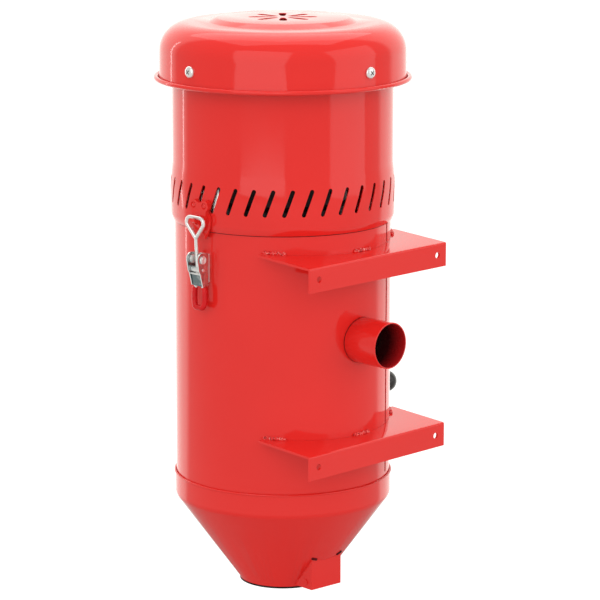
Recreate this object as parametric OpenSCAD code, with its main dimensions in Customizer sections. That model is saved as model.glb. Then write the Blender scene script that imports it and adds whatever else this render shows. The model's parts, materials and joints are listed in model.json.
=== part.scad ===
// Dust collector for a blasting cabinet: a sheet-steel drum with a cone below, a motor head
// clamped on top by two toggle latches, a side inlet and two brackets that bolt to the cabinet.
// Z is the drum's axis, Z = 0 is the underside of the closed outlet flap, and the cabinet is at -Y.

/* [Drum and cone] */
// Outside diameter of the drum
drum_d = 239; // [225:1:255]
// Thickness of the rolled sheet
sheet_t = 1.2; // [0.8:0.1:2]
// Height of the collar's top edge, where the cone overlaps the drum
collar_z = 131; // [126:1:136]
// Height of the collar
collar_h = 25; // [18:1:30]
// Outside diameter of the cone's lower rim
outlet_d = 98; // [88:1:104]
// Height of the drum's top edge
drum_top_z = 430; // [426:1:434]

/* [Inlet] */
// Outside diameter of the inlet pipe
inlet_d = 50.8; // [44:0.2:54]
// Wall of the inlet pipe
inlet_wall = 1.5; // [1:0.1:3]
// Height of the inlet pipe's axis
inlet_z = 296.5; // [286:0.5:306]
// Distance from the drum's axis to the pipe's mouth
inlet_reach = 162; // [150:1:180]

/* [Brackets] */
// Width of each bracket
bracket_w = 216; // [200:1:224]
// Distance from the drum's axis to the mounting plane
mount_plane = 145.5; // [138:0.5:156]
// Distance from the drum's axis to the back edge of a bracket plate
bracket_back = 68; // [60:1:76]
// Thickness of the bracket plate
bracket_t = 2.5; // [2:0.1:3]
// Height of the bracket's flange
flange_h = 26.5; // [22:0.5:32]
// Height of the lower bracket's top face
bracket_z = 189.5; // [184:0.5:194]
// Distance between the two brackets
bracket_pitch = 204; // [192:1:208]
// How much higher a bracket plate stands at its back edge than at its fold
plate_rise = 5; // [0:0.5:7]
// Diameter of the bolt holes
bolt_hole_d = 7; // [5:0.5:9]
// Distance from a bolt hole to the flange's end
bolt_inset = 14; // [10:0.5:20]
// Distance from a bolt hole to the bracket's top face
bolt_drop = 13; // [10:0.5:15]

/* [Motor head] */
// Outside diameter of the head
head_d = 243; // [241:1:245]
// Outside diameter of the slotted band
band_d = 247.4; // [246:0.2:252]
// Height of the head's lower edge
head_low_z = 417.5; // [412:0.5:419]
// Height of the head's top edge
head_top_z = 597; // [592:1:600]
// Number of air slots round the band
slot_count = 37; // [24:1:40]
// Width of an air slot
slot_w = 4.6; // [3:0.1:6]
// Length of an air slot from end to end
slot_len = 31; // [20:1:33]
// Lean of the slots
slot_lean = 20; // [0:0.5:25]
// Height of the middle of the slots
slot_z = 453; // [451:0.5:456]

/* [Top cover] */
// Outside diameter of the cover's skirt
cover_d = 270.6; // [264:0.2:276]
// Outside diameter of the rolled rim
rim_d = 283; // [278:0.2:288]
// Height of the rolled rim's middle
rim_z = 573.8; // [568:0.1:578]
// Radius of the cover's shoulder
shoulder_r = 31; // [20:1:34]
// Height of the cover's flat top
cover_top_z = 634.3; // [632:0.1:640]
// Height of the raised disc on the cover
disc_h = 4.6; // [3:0.1:6]
// Diameter of the raised disc at its foot
disc_d = 164; // [150:1:170]
// Number of vent petals in the disc
petal_count = 8; // [6:1:12]

/* [Outlet flap] */
// Thickness of the rubber seal
seal_t = 1.8; // [1:0.1:3]
// Diameter of the rubber seal
seal_d = 97; // [93:0.5:99]
// Thickness of the steel flap
flap_t = 1.5; // [1.2:0.1:2]
// Diameter of the steel flap
flap_d = 84; // [76:1:90]
// Depth of the boss pressed in the flap's middle
boss_h = 2.3; // [1.6:0.1:3]
// Diameter of the pressed boss
boss_d = 44; // [30:1:60]
// Distance from the drum's axis to the flap's hinge pin
hinge_y = 63; // [62:0.5:64]
// Height of the flap's hinge pin
hinge_z = 15.5; // [15:0.5:17]
// Distance from the drum's axis to the hinge bracket's face
hinge_front_y = 72.8; // [72:0.2:78]
// Height of the hinge bracket's lower edge
hinge_low_z = 8.1; // [7.5:0.1:9]
// Height of the hinge bracket's upper edge
hinge_top_z = 44.9; // [40:0.1:50]
// Width of the hinge bracket
hinge_w = 43.8; // [38:0.2:48]
// Turn of the hinge from the mounting direction
hinge_turn = -4; // [-12:1:12]

/* [Toggle latches] */
// Distance from the drum's axis to the lever's pivot
pivot_x = 132.5; // [132:0.1:134]
// Height of the lever's pivot
pivot_z = 388; // [386:0.5:390]
// Distance from the lever's pivot down to the bail's barrel
toggle_arm = 11.2; // [11:0.1:12.5]
// Outside width of the lever
lever_w = 18; // [17.4:0.2:20]
// Outside width of the bail's loop
bail_w = 30; // [28:0.5:33]

/* [Filter shaker] */
// Height of the shaker rod
shaker_z = 202; // [196:0.5:212]
// Distance from the drum's axis to the middle of the knob
knob_x = 171; // [168:0.5:176]
// Diameter of the ball knob
knob_d = 25; // [20:0.5:30]
// Diameter of the shaker rod
shaker_rod_d = 8; // [6:0.5:9]

/* [Hidden] */
$fn = 96;

PAINT = "#d8262b";
ZINC = "#c9ccd0";
STEEL = "#9a9da2";
DARK = "#2b2b2e";

fit_gap = 0.1;      // between two pieces that are joined
run_gap = 0.06;     // radial clearance of a turning or sliding fit
clear_gap = 0.3;    // between pieces that move past each other
cut_over = 1;       // how far a cutter reaches past the face it cuts

drum_r = drum_d / 2;
drum_low_z = collar_z - 19;
collar_r = drum_r + fit_gap + sheet_t;
outlet_r = outlet_d / 2;
seal_low_z = boss_h + flap_t;
rim_low_z = seal_low_z + seal_t + clear_gap;
rim_lip_h = 1.5;
knuckle_z = collar_z - collar_h;
knuckle_bend_r = 12;
bead_r = 1.1;
seat_gap = 0.3;     // round the inlet pipe in the drum's wall
shoulder_gap = 1.5; // from the inlet pipe's shoulder to the drum

upper_z = bracket_z + bracket_pitch;
bolt_x = bracket_w / 2 - bolt_inset;
notch_r = drum_r + fit_gap;
weld_leg = 2.6;

head_r = head_d / 2;
band_r = band_d / 2;
band_low_z = head_low_z + 8;
band_top_z = 463;
flare_top_z = 482;
deck_z = drum_top_z + 5;
deck_t = 2;
deck_r = band_r - sheet_t - fit_gap;

cover_r = cover_d / 2;
rim_bead_r = 2.5;
shoulder_z = cover_top_z - shoulder_r;
disc_r = disc_d / 2;
disc_edge = 8;
screw_z = 590.3;
screw_angles = [-2.5, 87.5, 177.5, 267.5];
first_slot_turn = -3.9;

// A flat ring or a tube between two radii, standing on z.
module ring(outer, inner, z, h) {
    translate([0, 0, z])
        difference() {
            cylinder(r = outer, h = h);
            translate([0, 0, -cut_over])
                cylinder(r = inner, h = h + 2 * cut_over);
        }
}

// A rod along X from x0 to x1.
module rod_x(r, x0, x1, y = 0, z = 0) {
    translate([x0, y, z])
        rotate([0, 90, 0])
            cylinder(r = r, h = x1 - x0);
}

// A rod along Y from y0 to y1.
module rod_y(r, y0, y1, x = 0, z = 0) {
    translate([x, y0, z])
        rotate([-90, 0, 0])
            cylinder(r = r, h = y1 - y0);
}

// A wall of even thickness inside a list of [radius, height] points that runs downwards.
module spun_sheet(outer_points, thickness) {
    rotate_extrude()
        polygon(concat(outer_points, [
            for (i = [len(outer_points) - 1 : -1 : 0])
                outer_points[i] - thickness * sheet_normal(outer_points, i)
        ]));
}

function unit(v) = v / norm(v);

function edge_normal(a, b) = unit([a[1] - b[1], b[0] - a[0]]);

// The outward normal of a profile at point i, lengthened so that the wall keeps its thickness.
function sheet_normal(p, i) =
    let (
        before = edge_normal(p[max(i - 1, 0)], p[max(i, 1)]),
        after = edge_normal(p[min(i, len(p) - 2)], p[min(i + 1, len(p) - 1)]),
        middle = unit(before + after)
    ) middle / (middle * before);

/* ---------- drum, cone and inlet ---------- */

module drum_shell() {
    color(PAINT)
        difference() {
            ring(drum_r, drum_r - sheet_t, drum_low_z, drum_top_z - drum_low_z);
            rod_y(spigot_r + seat_gap, -drum_r - 10, 0, z = inlet_z);
            rod_x(bush_shank_r + fit_gap, drum_r - 10, drum_r + 10, z = shaker_z);
        }
}

// The radius of the cone's outer face at a height, on the straight line below the collar's bend.
function cone_r(z) =
    outlet_r + (collar_r - outlet_r) * (z - rim_low_z - rim_lip_h) / (knuckle_z - rim_low_z - rim_lip_h);

// The angle of the cone's side from the drum's axis.
cone_lean = atan((collar_r - outlet_r) / (knuckle_z - rim_low_z - rim_lip_h));

// The cone's collar slips over the drum, bends softly into the cone and has a rolled top edge.
module hopper_cone() {
    bend_z = knuckle_z + knuckle_bend_r * tan(cone_lean / 2);
    bend = [
        for (i = [0 : 8])
            let (a = -cone_lean * i / 8)
                [collar_r - knuckle_bend_r + knuckle_bend_r * cos(a), bend_z + knuckle_bend_r * sin(a)]
    ];
    color(PAINT)
        union() {
            spun_sheet(concat(
                [[collar_r, collar_z]], bend,
                [[outlet_r, rim_low_z + rim_lip_h], [outlet_r - 0.3, rim_low_z]]
            ), sheet_t);
            rotate_extrude()
                translate([collar_r - sheet_t + bead_r, collar_z])
                    circle(r = bead_r, $fn = 24);
        }
}

pipe_r = inlet_d / 2;
spigot_r = pipe_r - 0.4;

// The inlet pipe: a shoulder just short of the drum, and a spigot that is welded from inside.
module inlet_pipe() {
    weld_r = drum_r - sheet_t - fit_gap;
    color(PAINT)
        difference() {
            union() {
                rod_y(pipe_r, -inlet_reach, -drum_r - shoulder_gap, z = inlet_z);
                rod_y(spigot_r, -inlet_reach + cut_over, -drum_r + 12, z = inlet_z);
                intersection() {
                    rod_y(spigot_r + weld_leg, -inlet_reach, -drum_r / 2, z = inlet_z);
                    ring(weld_r, weld_r - weld_leg * 0.8, inlet_z - inlet_d, 2 * inlet_d);
                }
            }
            rod_y(pipe_r - inlet_wall, -inlet_reach - cut_over, 0, z = inlet_z);
        }
}

/* ---------- brackets ---------- */

fold_r = 2;
weld_span = 12;

// A plate notched round the drum and folded down into a flange, with stitch welds on the notch.
module bracket(top_z) {
    color(PAINT)
        difference() {
            union() {
                translate([-bracket_w / 2, 0, 0])
                    rotate([90, 0, 90])
                        linear_extrude(height = bracket_w)
                            folded_profile(top_z);
                translate([0, -mount_plane, top_z])
                    rotate([plate_slope, 0, 0])
                        translate([0, mount_plane, 0])
                            for (middle = [-50, 0, 50])
                                stitch_weld(middle);
            }
            ring_cutter(notch_r, top_z);
            for (side = [-1, 1])
                rod_y(bolt_hole_d / 2, -mount_plane - cut_over, -mount_plane + bracket_t + cut_over,
                    x = side * bolt_x, z = top_z - bolt_drop);
        }
}

// The plate rises towards the drum by this angle.
plate_slope = atan(plate_rise / (mount_plane - bracket_back));

// The bracket's section in the Y-Z plane: plate and flange with a rounded fold between them.
module folded_profile(top_z) {
    fold = [
        for (i = [0 : 6])
            let (a = 180 - i * (90 - plate_slope) / 6)
                [-mount_plane + fold_r + fold_r * cos(a), top_z - fold_r + fold_r * sin(a)]
    ];
    back_z = fold[6][1] + (-bracket_back - fold[6][0]) * tan(plate_slope);
    under = bracket_t / cos(plate_slope);
    inner_z = fold[6][1] + (-mount_plane + bracket_t - fold[6][0]) * tan(plate_slope) - under;
    polygon(concat(fold, [
        [-bracket_back, back_z], [-bracket_back, back_z - under],
        [-mount_plane + bracket_t, inner_z],
        [-mount_plane + bracket_t, top_z - flange_h], [-mount_plane, top_z - flange_h]
    ]));
}

// A short fillet between the plate and the drum, centred on an angle from the mounting direction.
module stitch_weld(middle) {
    inner_r = notch_r - 1;
    rotate([0, 0, -90 + middle - weld_span / 2])
        rotate_extrude(angle = weld_span)
            polygon([
                [inner_r, -0.5], [notch_r + weld_leg, -0.5],
                [notch_r + weld_leg, 0.1], [notch_r + weld_leg * 0.35, weld_leg * 0.4],
                [notch_r, weld_leg], [inner_r, weld_leg]
            ]);
}

module ring_cutter(radius, top_z) {
    translate([0, 0, top_z - flange_h - cut_over])
        cylinder(r = radius, h = flange_h + plate_rise + weld_leg + 3 * cut_over, $fn = 180);
}

module upper_bracket() {
    bracket(upper_z);
}

module lower_bracket() {
    bracket(bracket_z);
}

/* ---------- outlet flap ---------- */

hinge_half_w = hinge_w / 2;
hinge_sheet_t = 2;
pin_r = 2.2;
knuckle_r = 4;
knuckle_half_w = 9;
rivet_r = 3;
washer_t = 1.2;

// The hinge stands a few degrees round from the mounting direction.
module at_hinge() {
    rotate([0, 0, hinge_turn])
        children();
}

// A channel on the cone, open at the back, that carries the flap's pin in its cheeks.
module hinge_bracket() {
    cheek = [
        [-hinge_front_y, hinge_low_z], [-hinge_front_y, hinge_top_z],
        [-cone_r(hinge_top_z) + 12, hinge_top_z], [-outlet_r + 14, hinge_low_z + 4],
        [-outlet_r + 4, hinge_low_z]
    ];
    color(PAINT)
        difference() {
            at_hinge()
                union() {
                    for (y0 = [-hinge_half_w, hinge_half_w - hinge_sheet_t])
                        rotate([90, 0, 90])
                            translate([0, 0, y0])
                                linear_extrude(height = hinge_sheet_t)
                                    polygon(cheek);
                    translate([-hinge_half_w, -hinge_front_y, hinge_low_z])
                        cube([2 * hinge_half_w, hinge_sheet_t, hinge_top_z - hinge_low_z]);
                }
            cone_cutter();
            at_hinge()
                rod_x(pin_r + run_gap, -hinge_half_w - cut_over, hinge_half_w + cut_over,
                    y = -hinge_y, z = hinge_z);
        }
}

// The solid inside the cone's outer face, grown by the gap of a joint.
module cone_cutter() {
    grow = fit_gap * 1.3;
    rotate_extrude($fn = 180)
        polygon([
            [0, -cut_over], [outlet_r + grow, -cut_over], [outlet_r + grow, rim_low_z + rim_lip_h],
            [cone_r(hinge_top_z + 20) + grow, hinge_top_z + 20], [0, hinge_top_z + 20]
        ]);
}

module hinge_pin() {
    reach = hinge_half_w + fit_gap;
    color(PAINT)
        at_hinge()
            union() {
                rod_x(pin_r, -reach - 1, reach + 1, y = -hinge_y, z = hinge_z);
                rod_x(pin_r + 1, -reach - 1, -reach, y = -hinge_y, z = hinge_z);
                rod_x(pin_r + 1, reach, reach + 1, y = -hinge_y, z = hinge_z);
            }
}

// The steel flap: a disc with a pressed boss, an arm up to the hinge and a knuckle round the pin.
module flap_plate() {
    arm = [
        [-flap_d / 2 + 6, boss_h], [-outlet_r - 3, boss_h],
        [-hinge_y - knuckle_r * 0.85, hinge_z - knuckle_r * 0.5],
        [-hinge_y, hinge_z + knuckle_r * 0.5], [-hinge_y + knuckle_r * 0.9, hinge_z - knuckle_r * 0.4],
        [-outlet_r - 2, seal_low_z], [-flap_d / 2 + 6, seal_low_z]
    ];
    color(PAINT)
        difference() {
            union() {
                translate([0, 0, boss_h])
                    cylinder(d = flap_d, h = flap_t);
                cylinder(r1 = boss_d / 2 - boss_h, r2 = boss_d / 2, h = boss_h);
                at_hinge() {
                    rotate([90, 0, 90])
                        translate([0, 0, -knuckle_half_w])
                            linear_extrude(height = 2 * knuckle_half_w)
                                polygon(arm);
                    rod_x(knuckle_r, -knuckle_half_w, knuckle_half_w, y = -hinge_y, z = hinge_z);
                }
            }
            translate([0, 0, flap_t])
                cylinder(r1 = boss_d / 2 - boss_h - flap_t, r2 = boss_d / 2, h = seal_low_z - flap_t + 0.01);
            at_hinge()
                rod_x(pin_r + run_gap, -knuckle_half_w - cut_over, knuckle_half_w + cut_over,
                    y = -hinge_y, z = hinge_z);
            translate([0, 0, -cut_over])
                cylinder(r = rivet_r + run_gap, h = seal_low_z + 2 * cut_over);
        }
}

// The seal's middle is pulled down into the boss by the rivet.
module flap_seal() {
    hub_r = boss_d / 2 - boss_h - flap_t - clear_gap;
    color(DARK)
        difference() {
            union() {
                translate([0, 0, seal_low_z])
                    cylinder(d = seal_d, h = seal_t);
                translate([0, 0, flap_t])
                    cylinder(r = hub_r, h = seal_low_z);
            }
            translate([0, 0, -cut_over])
                cylinder(r = rivet_r + run_gap, h = seal_low_z + seal_t + 2 * cut_over);
        }
}

module flap_rivet() {
    stack = seal_low_z + seal_t;
    color(ZINC)
        union() {
            translate([0, 0, fit_gap])
                cylinder(r = rivet_r, h = stack - fit_gap);
            translate([0, 0, stack])
                cylinder(r = 12, h = washer_t);
            translate([0, 0, stack + washer_t])
                dome(5.5, 2.4);
        }
}

// A flat-bottomed cap of a sphere.
module dome(radius, height) {
    ball_r = (radius * radius + height * height) / (2 * height);
    rotate_extrude()
        intersection() {
            translate([0, height - ball_r])
                circle(r = ball_r);
            square([radius, height]);
        }
}

// Two runs of wire wound on the hinge pin, one on each side of the knuckle.
spring_wire = 1.6;
spring_turns = 3;
spring_rings = 8;
module flap_spring() {
    start_x = knuckle_half_w + clear_gap + spring_wire / 2;
    end_x = hinge_half_w - hinge_sheet_t - clear_gap - spring_wire / 2;
    radius = pin_r + clear_gap + spring_wire / 2;
    echo(flap_spring_gap = (end_x - start_x) / spring_turns - spring_wire);
    color(ZINC)
        for (side = [-1, 1])
            at_hinge()
                translate([0, -hinge_y, hinge_z])
                    coil(side * start_x, side * end_x, radius, spring_wire, spring_turns);
}

// One unbroken wire wound along X, with eight rings a turn and six sides a ring.
module coil(x0, x1, radius, wire, turns) {
    sides = 6;
    rings = turns * spring_rings;
    path = [
        for (i = [0 : rings])
            let (a = 360 * i / spring_rings)
                [x0 + (x1 - x0) * i / rings, radius * cos(a), radius * sin(a)]
    ];
    rims = [
        for (i = [0 : rings], k = [0 : sides - 1])
            let (
                a = 360 * i / spring_rings,
                b = 360 * k / sides,
                outward = [0, cos(a), sin(a)]
            ) path[i] + wire / 2 * (outward * cos(b) + [1, 0, 0] * sin(b))
    ];
    walls = [
        for (i = [0 : rings - 1], k = [0 : sides - 1])
            let (
                n = (k + 1) % sides,
                a = i * sides + k,
                b = i * sides + n,
                c = (i + 1) * sides + n,
                d = (i + 1) * sides + k
            ) each [[a, b, c], [a, c, d]]
    ];
    first_cap = [for (k = [1 : sides - 2]) [0, k + 1, k]];
    last = rings * sides;
    last_cap = [for (k = [1 : sides - 2]) [last, last + k, last + k + 1]];
    polyhedron(points = rims, faces = concat(walls, first_cap, last_cap));
}

/* ---------- motor head and cover ---------- */

// The head's shell flares into the slotted band and tucks in over the drum at its lower edge.
module head_shell() {
    tuck_r = drum_r + fit_gap * 3 + sheet_t;
    color(PAINT)
        difference() {
            union() {
                spun_sheet([
                    [head_r, head_top_z], [head_r, flare_top_z], [head_r + 0.7, flare_top_z - 6],
                    [band_r - 0.4, band_top_z], [band_r, band_top_z - 8], [band_r, band_low_z],
                    [band_r - 0.5, band_low_z - 2.4], [tuck_r + 0.9, head_low_z + 2],
                    [tuck_r, head_low_z]
                ], sheet_t);
                ring(head_r - sheet_t / 2, head_r - 12, head_top_z - sheet_t, sheet_t);
            }
            for (i = [0 : slot_count - 1])
                rotate([0, 0, -90 + first_slot_turn + i * 360 / slot_count])
                    slot_cutter();
            rod_y(gland_r + fit_gap, head_r - 10, head_r + 10, z = gland_z);
        }
}

// One leaning slot with round ends, cut outwards along X.
module slot_cutter() {
    reach = slot_len / 2 - slot_w / 2;
    translate([band_r - 8, 0, slot_z])
        rotate([-slot_lean, 0, 0]) {
            for (end = [-1, 1])
                translate([0, 0, end * reach])
                    rotate([0, 90, 0])
                        cylinder(d = slot_w, h = 16, $fn = 24);
            translate([0, -slot_w / 2, -reach])
                cube([16, slot_w, 2 * reach]);
        }
}

// The cover: a deep round cap with a curled rim, a raised disc and petals for the cooling air.
module top_cover() {
    arc_steps = 10;
    arc_r0 = cover_r - shoulder_r;
    shoulder = [
        for (i = [0 : arc_steps])
            let (a = 90 - 90 * i / arc_steps)
                [arc_r0 + shoulder_r * cos(a), shoulder_z + shoulder_r * sin(a)]
    ];
    color(PAINT)
        difference() {
            union() {
                spun_sheet(concat(
                    [
                        [0, cover_top_z + disc_h], [disc_r - disc_edge - 3, cover_top_z + disc_h],
                        [disc_r - disc_edge, cover_top_z + disc_h - 0.6],
                        [disc_r - 2, cover_top_z + 0.6], [disc_r, cover_top_z]
                    ],
                    shoulder,
                    [[cover_r, rim_z + 1], [cover_r + 1, rim_z - rim_bead_r + 0.4]]
                ), sheet_t);
                rim();
            }
            for (i = [0 : petal_count - 1])
                rotate([0, 0, -90 + i * 360 / petal_count])
                    petal_cutter();
            for (a = screw_angles)
                rotate([0, 0, a])
                    rod_x(screw_r + run_gap, cover_r - 10, cover_r + 10, z = screw_z);
        }
}

// The curled rim: a lip joined to the skirt along its lower edge.
module rim() {
    bead_x = rim_d / 2 - rim_bead_r;
    rotate_extrude() {
        translate([bead_x, rim_z])
            circle(r = rim_bead_r, $fn = 32);
        translate([cover_r - sheet_t * 0.5, rim_z - rim_bead_r])
            square([bead_x - cover_r + sheet_t * 0.5, sheet_t]);
    }
}

module petal_cutter() {
    translate([0, 0, cover_top_z - 6])
        linear_extrude(height = 16)
            polygon([
                [9, -1.6], [14, -3], [30, -4.6], [36, -3.6], [38, 0],
                [36, 3.6], [30, 4.6], [14, 3], [9, 1.6], [8, 0]
            ]);
}

screw_r = 3;
head_screw_r = 6.3;
spacer_r = 6;

// Spacer tubes that hold the cover off the head and take its four screws.
module cover_spacers() {
    color(PAINT)
        for (a = screw_angles)
            rotate([0, 0, a])
                difference() {
                    rod_x(spacer_r, head_r + fit_gap, cover_r - sheet_t - 0.2, z = screw_z);
                    rod_x(screw_r + run_gap, head_r - cut_over, cover_r + cut_over, z = screw_z);
                }
}

// Four pan-head screws with a cross recess.
module cover_screws() {
    seat_x = cover_r + fit_gap;
    color(ZINC)
        for (a = screw_angles)
            rotate([0, 0, a])
                difference() {
                    union() {
                        rod_x(screw_r, head_r + 1, seat_x + 1, z = screw_z);
                        translate([seat_x, 0, screw_z])
                            rotate([0, 90, 0])
                                rotate_extrude()
                                    polygon([
                                        [0, 0], [head_screw_r, 0], [head_screw_r, 1.4],
                                        [head_screw_r - 0.7, 2.4], [head_screw_r - 2.2, 3.2],
                                        [head_screw_r - 4.2, 3.6], [0, 3.7]
                                    ]);
                    }
                    for (turn = [45, 135])
                        translate([seat_x + 1.6, 0, screw_z])
                            rotate([turn, 0, 0])
                                translate([0, -3, -0.6])
                                    cube([4, 6, 1.2]);
                }
}

gland_z = 500;
gland_r = 8;

// A cable gland through the back of the head: nut inside, hexagon and cap nut outside.
module cable_gland() {
    color(DARK)
        difference() {
            union() {
                rod_y(gland_r, head_r - 9, head_r + 9, z = gland_z);
                translate([0, head_r + fit_gap, gland_z])
                    rotate([-90, 0, 0])
                        cylinder(r = 12.5, h = 5, $fn = 6);
                translate([0, head_r + 5, gland_z])
                    rotate([-90, 0, 0])
                        cylinder(r1 = 11, r2 = 7.5, h = 15);
                translate([0, head_r - sheet_t - 6, gland_z])
                    rotate([-90, 0, 0])
                        cylinder(r = 12.5, h = 5, $fn = 6);
            }
            rod_y(4, head_r - 12, head_r + 24, z = gland_z);
        }
}

/* ---------- deck and filter ---------- */

intake_r = 40;
filter_r = 78;
filter_core_r = 48;
filter_low_z = 200;
filter_high_z = drum_top_z - 0.1;
cap_r = filter_r + 2;
pleats = 40;

module head_gasket() {
    color(DARK)
        ring(drum_r + 1, drum_r - 12, drum_top_z + 1.5 + fit_gap, deck_z - drum_top_z - 1.5 - 2 * fit_gap);
}

module motor_deck() {
    color(STEEL)
        ring(deck_r, intake_r, deck_z, deck_t);
}

// The filter's top plate rests on the drum's edge; a three-armed spider holds the tie rod.
module filter_top_plate() {
    color(STEEL)
        union() {
            ring(drum_r + 1, intake_r, drum_top_z + fit_gap, 1.5);
            difference() {
                union() {
                    translate([0, 0, drum_top_z + fit_gap])
                        cylinder(r = 9, h = 1.5);
                    for (a = [90, 210, 330])
                        rotate([0, 0, a])
                            translate([0, -4, drum_top_z + fit_gap])
                                cube([intake_r + 2, 8, 1.5]);
                }
                translate([0, 0, drum_top_z - cut_over])
                    cylinder(r = tie_r + run_gap, h = 4);
            }
        }
}

tie_r = 4;

// The pleated paper: a star-shaped tube.
module filter_media() {
    color("#e8e2cf")
        translate([0, 0, filter_low_z])
            linear_extrude(height = filter_high_z - filter_low_z)
                difference() {
                    polygon(pleat_star(filter_r, filter_core_r + 3));
                    polygon(pleat_star(filter_r - 3, filter_core_r));
                }
}

function pleat_star(tip_r, root_r) = [
    for (i = [0 : 2 * pleats - 1])
        let (r = i % 2 == 0 ? tip_r : root_r, a = 180 * i / pleats)
            [r * cos(a), r * sin(a)]
];

module filter_bottom_cap() {
    color(STEEL)
        difference() {
            union() {
                translate([0, 0, filter_low_z - 1.7])
                    cylinder(r = cap_r, h = 1.5);
                ring(cap_r, cap_r - 1.2, filter_low_z - 1.7, 12);
            }
            translate([0, 0, filter_low_z - 4])
                cylinder(r = tie_r + run_gap, h = 6);
        }
}

module filter_tie_rod() {
    color(ZINC)
        translate([0, 0, filter_low_z - 18])
            cylinder(r = tie_r, h = drum_top_z + 4 - filter_low_z + 18);
}

// A wing nut under the filter, with two swept ears.
module filter_wing_nut() {
    nut_top = filter_low_z - 1.9;
    color(ZINC)
        difference() {
            union() {
                translate([0, 0, nut_top - 9])
                    cylinder(r1 = 8, r2 = 10, h = 9);
                for (side = [0, 180])
                    rotate([0, 0, side])
                        translate([0, 2, 0])
                            rotate([90, 0, 0])
                                linear_extrude(height = 4)
                                    polygon([
                                        [7, nut_top - 2], [24, nut_top - 10], [24, nut_top - 18],
                                        [18, nut_top - 18], [7, nut_top - 8]
                                    ]);
            }
            translate([0, 0, nut_top - 20])
                cylinder(r = tie_r + run_gap, h = 21);
        }
}

/* ---------- motor ---------- */

motor_z = deck_z + deck_t;
housing_z = motor_z + 3;
housing_h = 44;
housing_r = 71;
shaft_r = 4;
frame_z = housing_z + housing_h;
fan_room = 76.3;    // from the cover's top down to the motor's upper bearing
upper_bearing_z = cover_top_z - fan_room;
motor_h = upper_bearing_z - frame_z;
core_low_z = frame_z + 0.16 * motor_h;
core_h = 0.46 * motor_h;
core_half_x = 44.5;
core_half_y = 33;
armature_r = 23.6;
air_gap = 0.9;      // between the armature and the field
coil_x = 34;
coil_half_w = 6.5;
coil_half_y = 21.5;
coil_over = 0.065 * motor_h; // how far a coil stands out above and below the core
commutator_r = 12;
commutator_h = 0.24 * motor_h;
commutator_low_z = upper_bearing_z - 0.32 * motor_h;
brush_r = 0.06 * motor_h;
brush_reach = 32;
bearing_r = 11;
bearing_h = 0.095 * motor_h;
bearing_drop = 0.04 * motor_h; // how far the upper bearing hangs below its plate's seat
plate_seat_z = upper_bearing_z - bearing_drop + bearing_h;
plate_h = 0.04 * motor_h;
fan_gap = 4.97;     // from the motor's top plate to the cooling fan
leg_t = 4;
leg_half_w = 14;

module motor_gasket() {
    color(DARK)
        ring(housing_r, housing_r - 14, motor_z, 3 - fit_gap);
}

// The pressed fan can: open below for the intake, with outlet windows round its side.
module fan_housing() {
    color(STEEL)
        difference() {
            ring(housing_r, 0, housing_z, housing_h);
            ring(housing_r - 1.2, 0, housing_z + 1.2, housing_h - 2.4);
            translate([0, 0, housing_z - cut_over])
                cylinder(r = 24, h = 4);
            translate([0, 0, housing_z + housing_h - 3])
                cylinder(r = bearing_r + run_gap, h = 5);
            for (i = [0 : 7])
                rotate([0, 0, i * 45 + 20])
                    translate([housing_r - 5, -12, housing_z + 24])
                        cube([10, 24, 12]);
        }
}

// The frame that carries the field and the upper bearing over the fan can.
module motor_bracket() {
    leg_x = core_half_x + 0.5;
    color(STEEL)
        difference() {
            union() {
                ring(leg_x + leg_t + 3, 24, frame_z + fit_gap, plate_h);
                for (side = [0, 180])
                    rotate([0, 0, side])
                        translate([leg_x, -leg_half_w, frame_z + plate_h / 2])
                            cube([leg_t, 2 * leg_half_w, plate_seat_z - frame_z]);
                translate([-leg_x - leg_t, -leg_half_w, plate_seat_z])
                    cube([2 * (leg_x + leg_t), 2 * leg_half_w, plate_h]);
                translate([0, 0, plate_seat_z - 0.8 * bearing_h])
                    cylinder(r = bearing_r + 4, h = bearing_h);
            }
            translate([0, 0, plate_seat_z - 2 * bearing_h])
                cylinder(r = bearing_r + run_gap, h = 2 * bearing_h);
            translate([0, 0, plate_seat_z - 1])
                cylinder(r = shaft_r + 2, h = plate_h + 2);
        }
}

module field_core() {
    color(STEEL)
        difference() {
            translate([-core_half_x, -core_half_y, core_low_z])
                cube([2 * core_half_x, 2 * core_half_y, core_h]);
            translate([0, 0, core_low_z - cut_over])
                cylinder(r = armature_r + air_gap, h = core_h + 2 * cut_over);
            for (side = [-1, 1])
                translate([side * coil_x, 0, core_low_z - cut_over])
                    coil_window(coil_half_w + 0.5, coil_half_y + 0.5, core_h + 2 * cut_over);
        }
}

// A box centred on the Z axis that stands on z = 0.
module coil_window(half_x, half_y, h) {
    translate([-half_x, -half_y, 0])
        cube([2 * half_x, 2 * half_y, h]);
}

module field_coils() {
    coil_h = core_h + 2 * coil_over;
    color("#b5652b")
        for (side = [-1, 1])
            translate([side * coil_x, 0, core_low_z - coil_over])
                difference() {
                    coil_window(coil_half_w, coil_half_y, coil_h);
                    translate([0, 0, 0.23 * coil_h])
                        coil_window(coil_half_w + cut_over, 0.56 * coil_half_y, 0.54 * coil_h);
                }
}

module motor_bearings() {
    color(ZINC) {
        ring(bearing_r, shaft_r + run_gap, frame_z - 1.2, bearing_h);
        ring(bearing_r, shaft_r + run_gap, upper_bearing_z - bearing_drop, bearing_h);
    }
}

module brush_holders() {
    color("#b08d3c")
        for (side = [-1, 1])
            rotate([0, 0, 90])
                rod_x(brush_r, side > 0 ? commutator_r + 0.6 : -brush_reach,
                    side > 0 ? brush_reach : -commutator_r - 0.6, z = commutator_low_z + commutator_h / 2);
}

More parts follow.
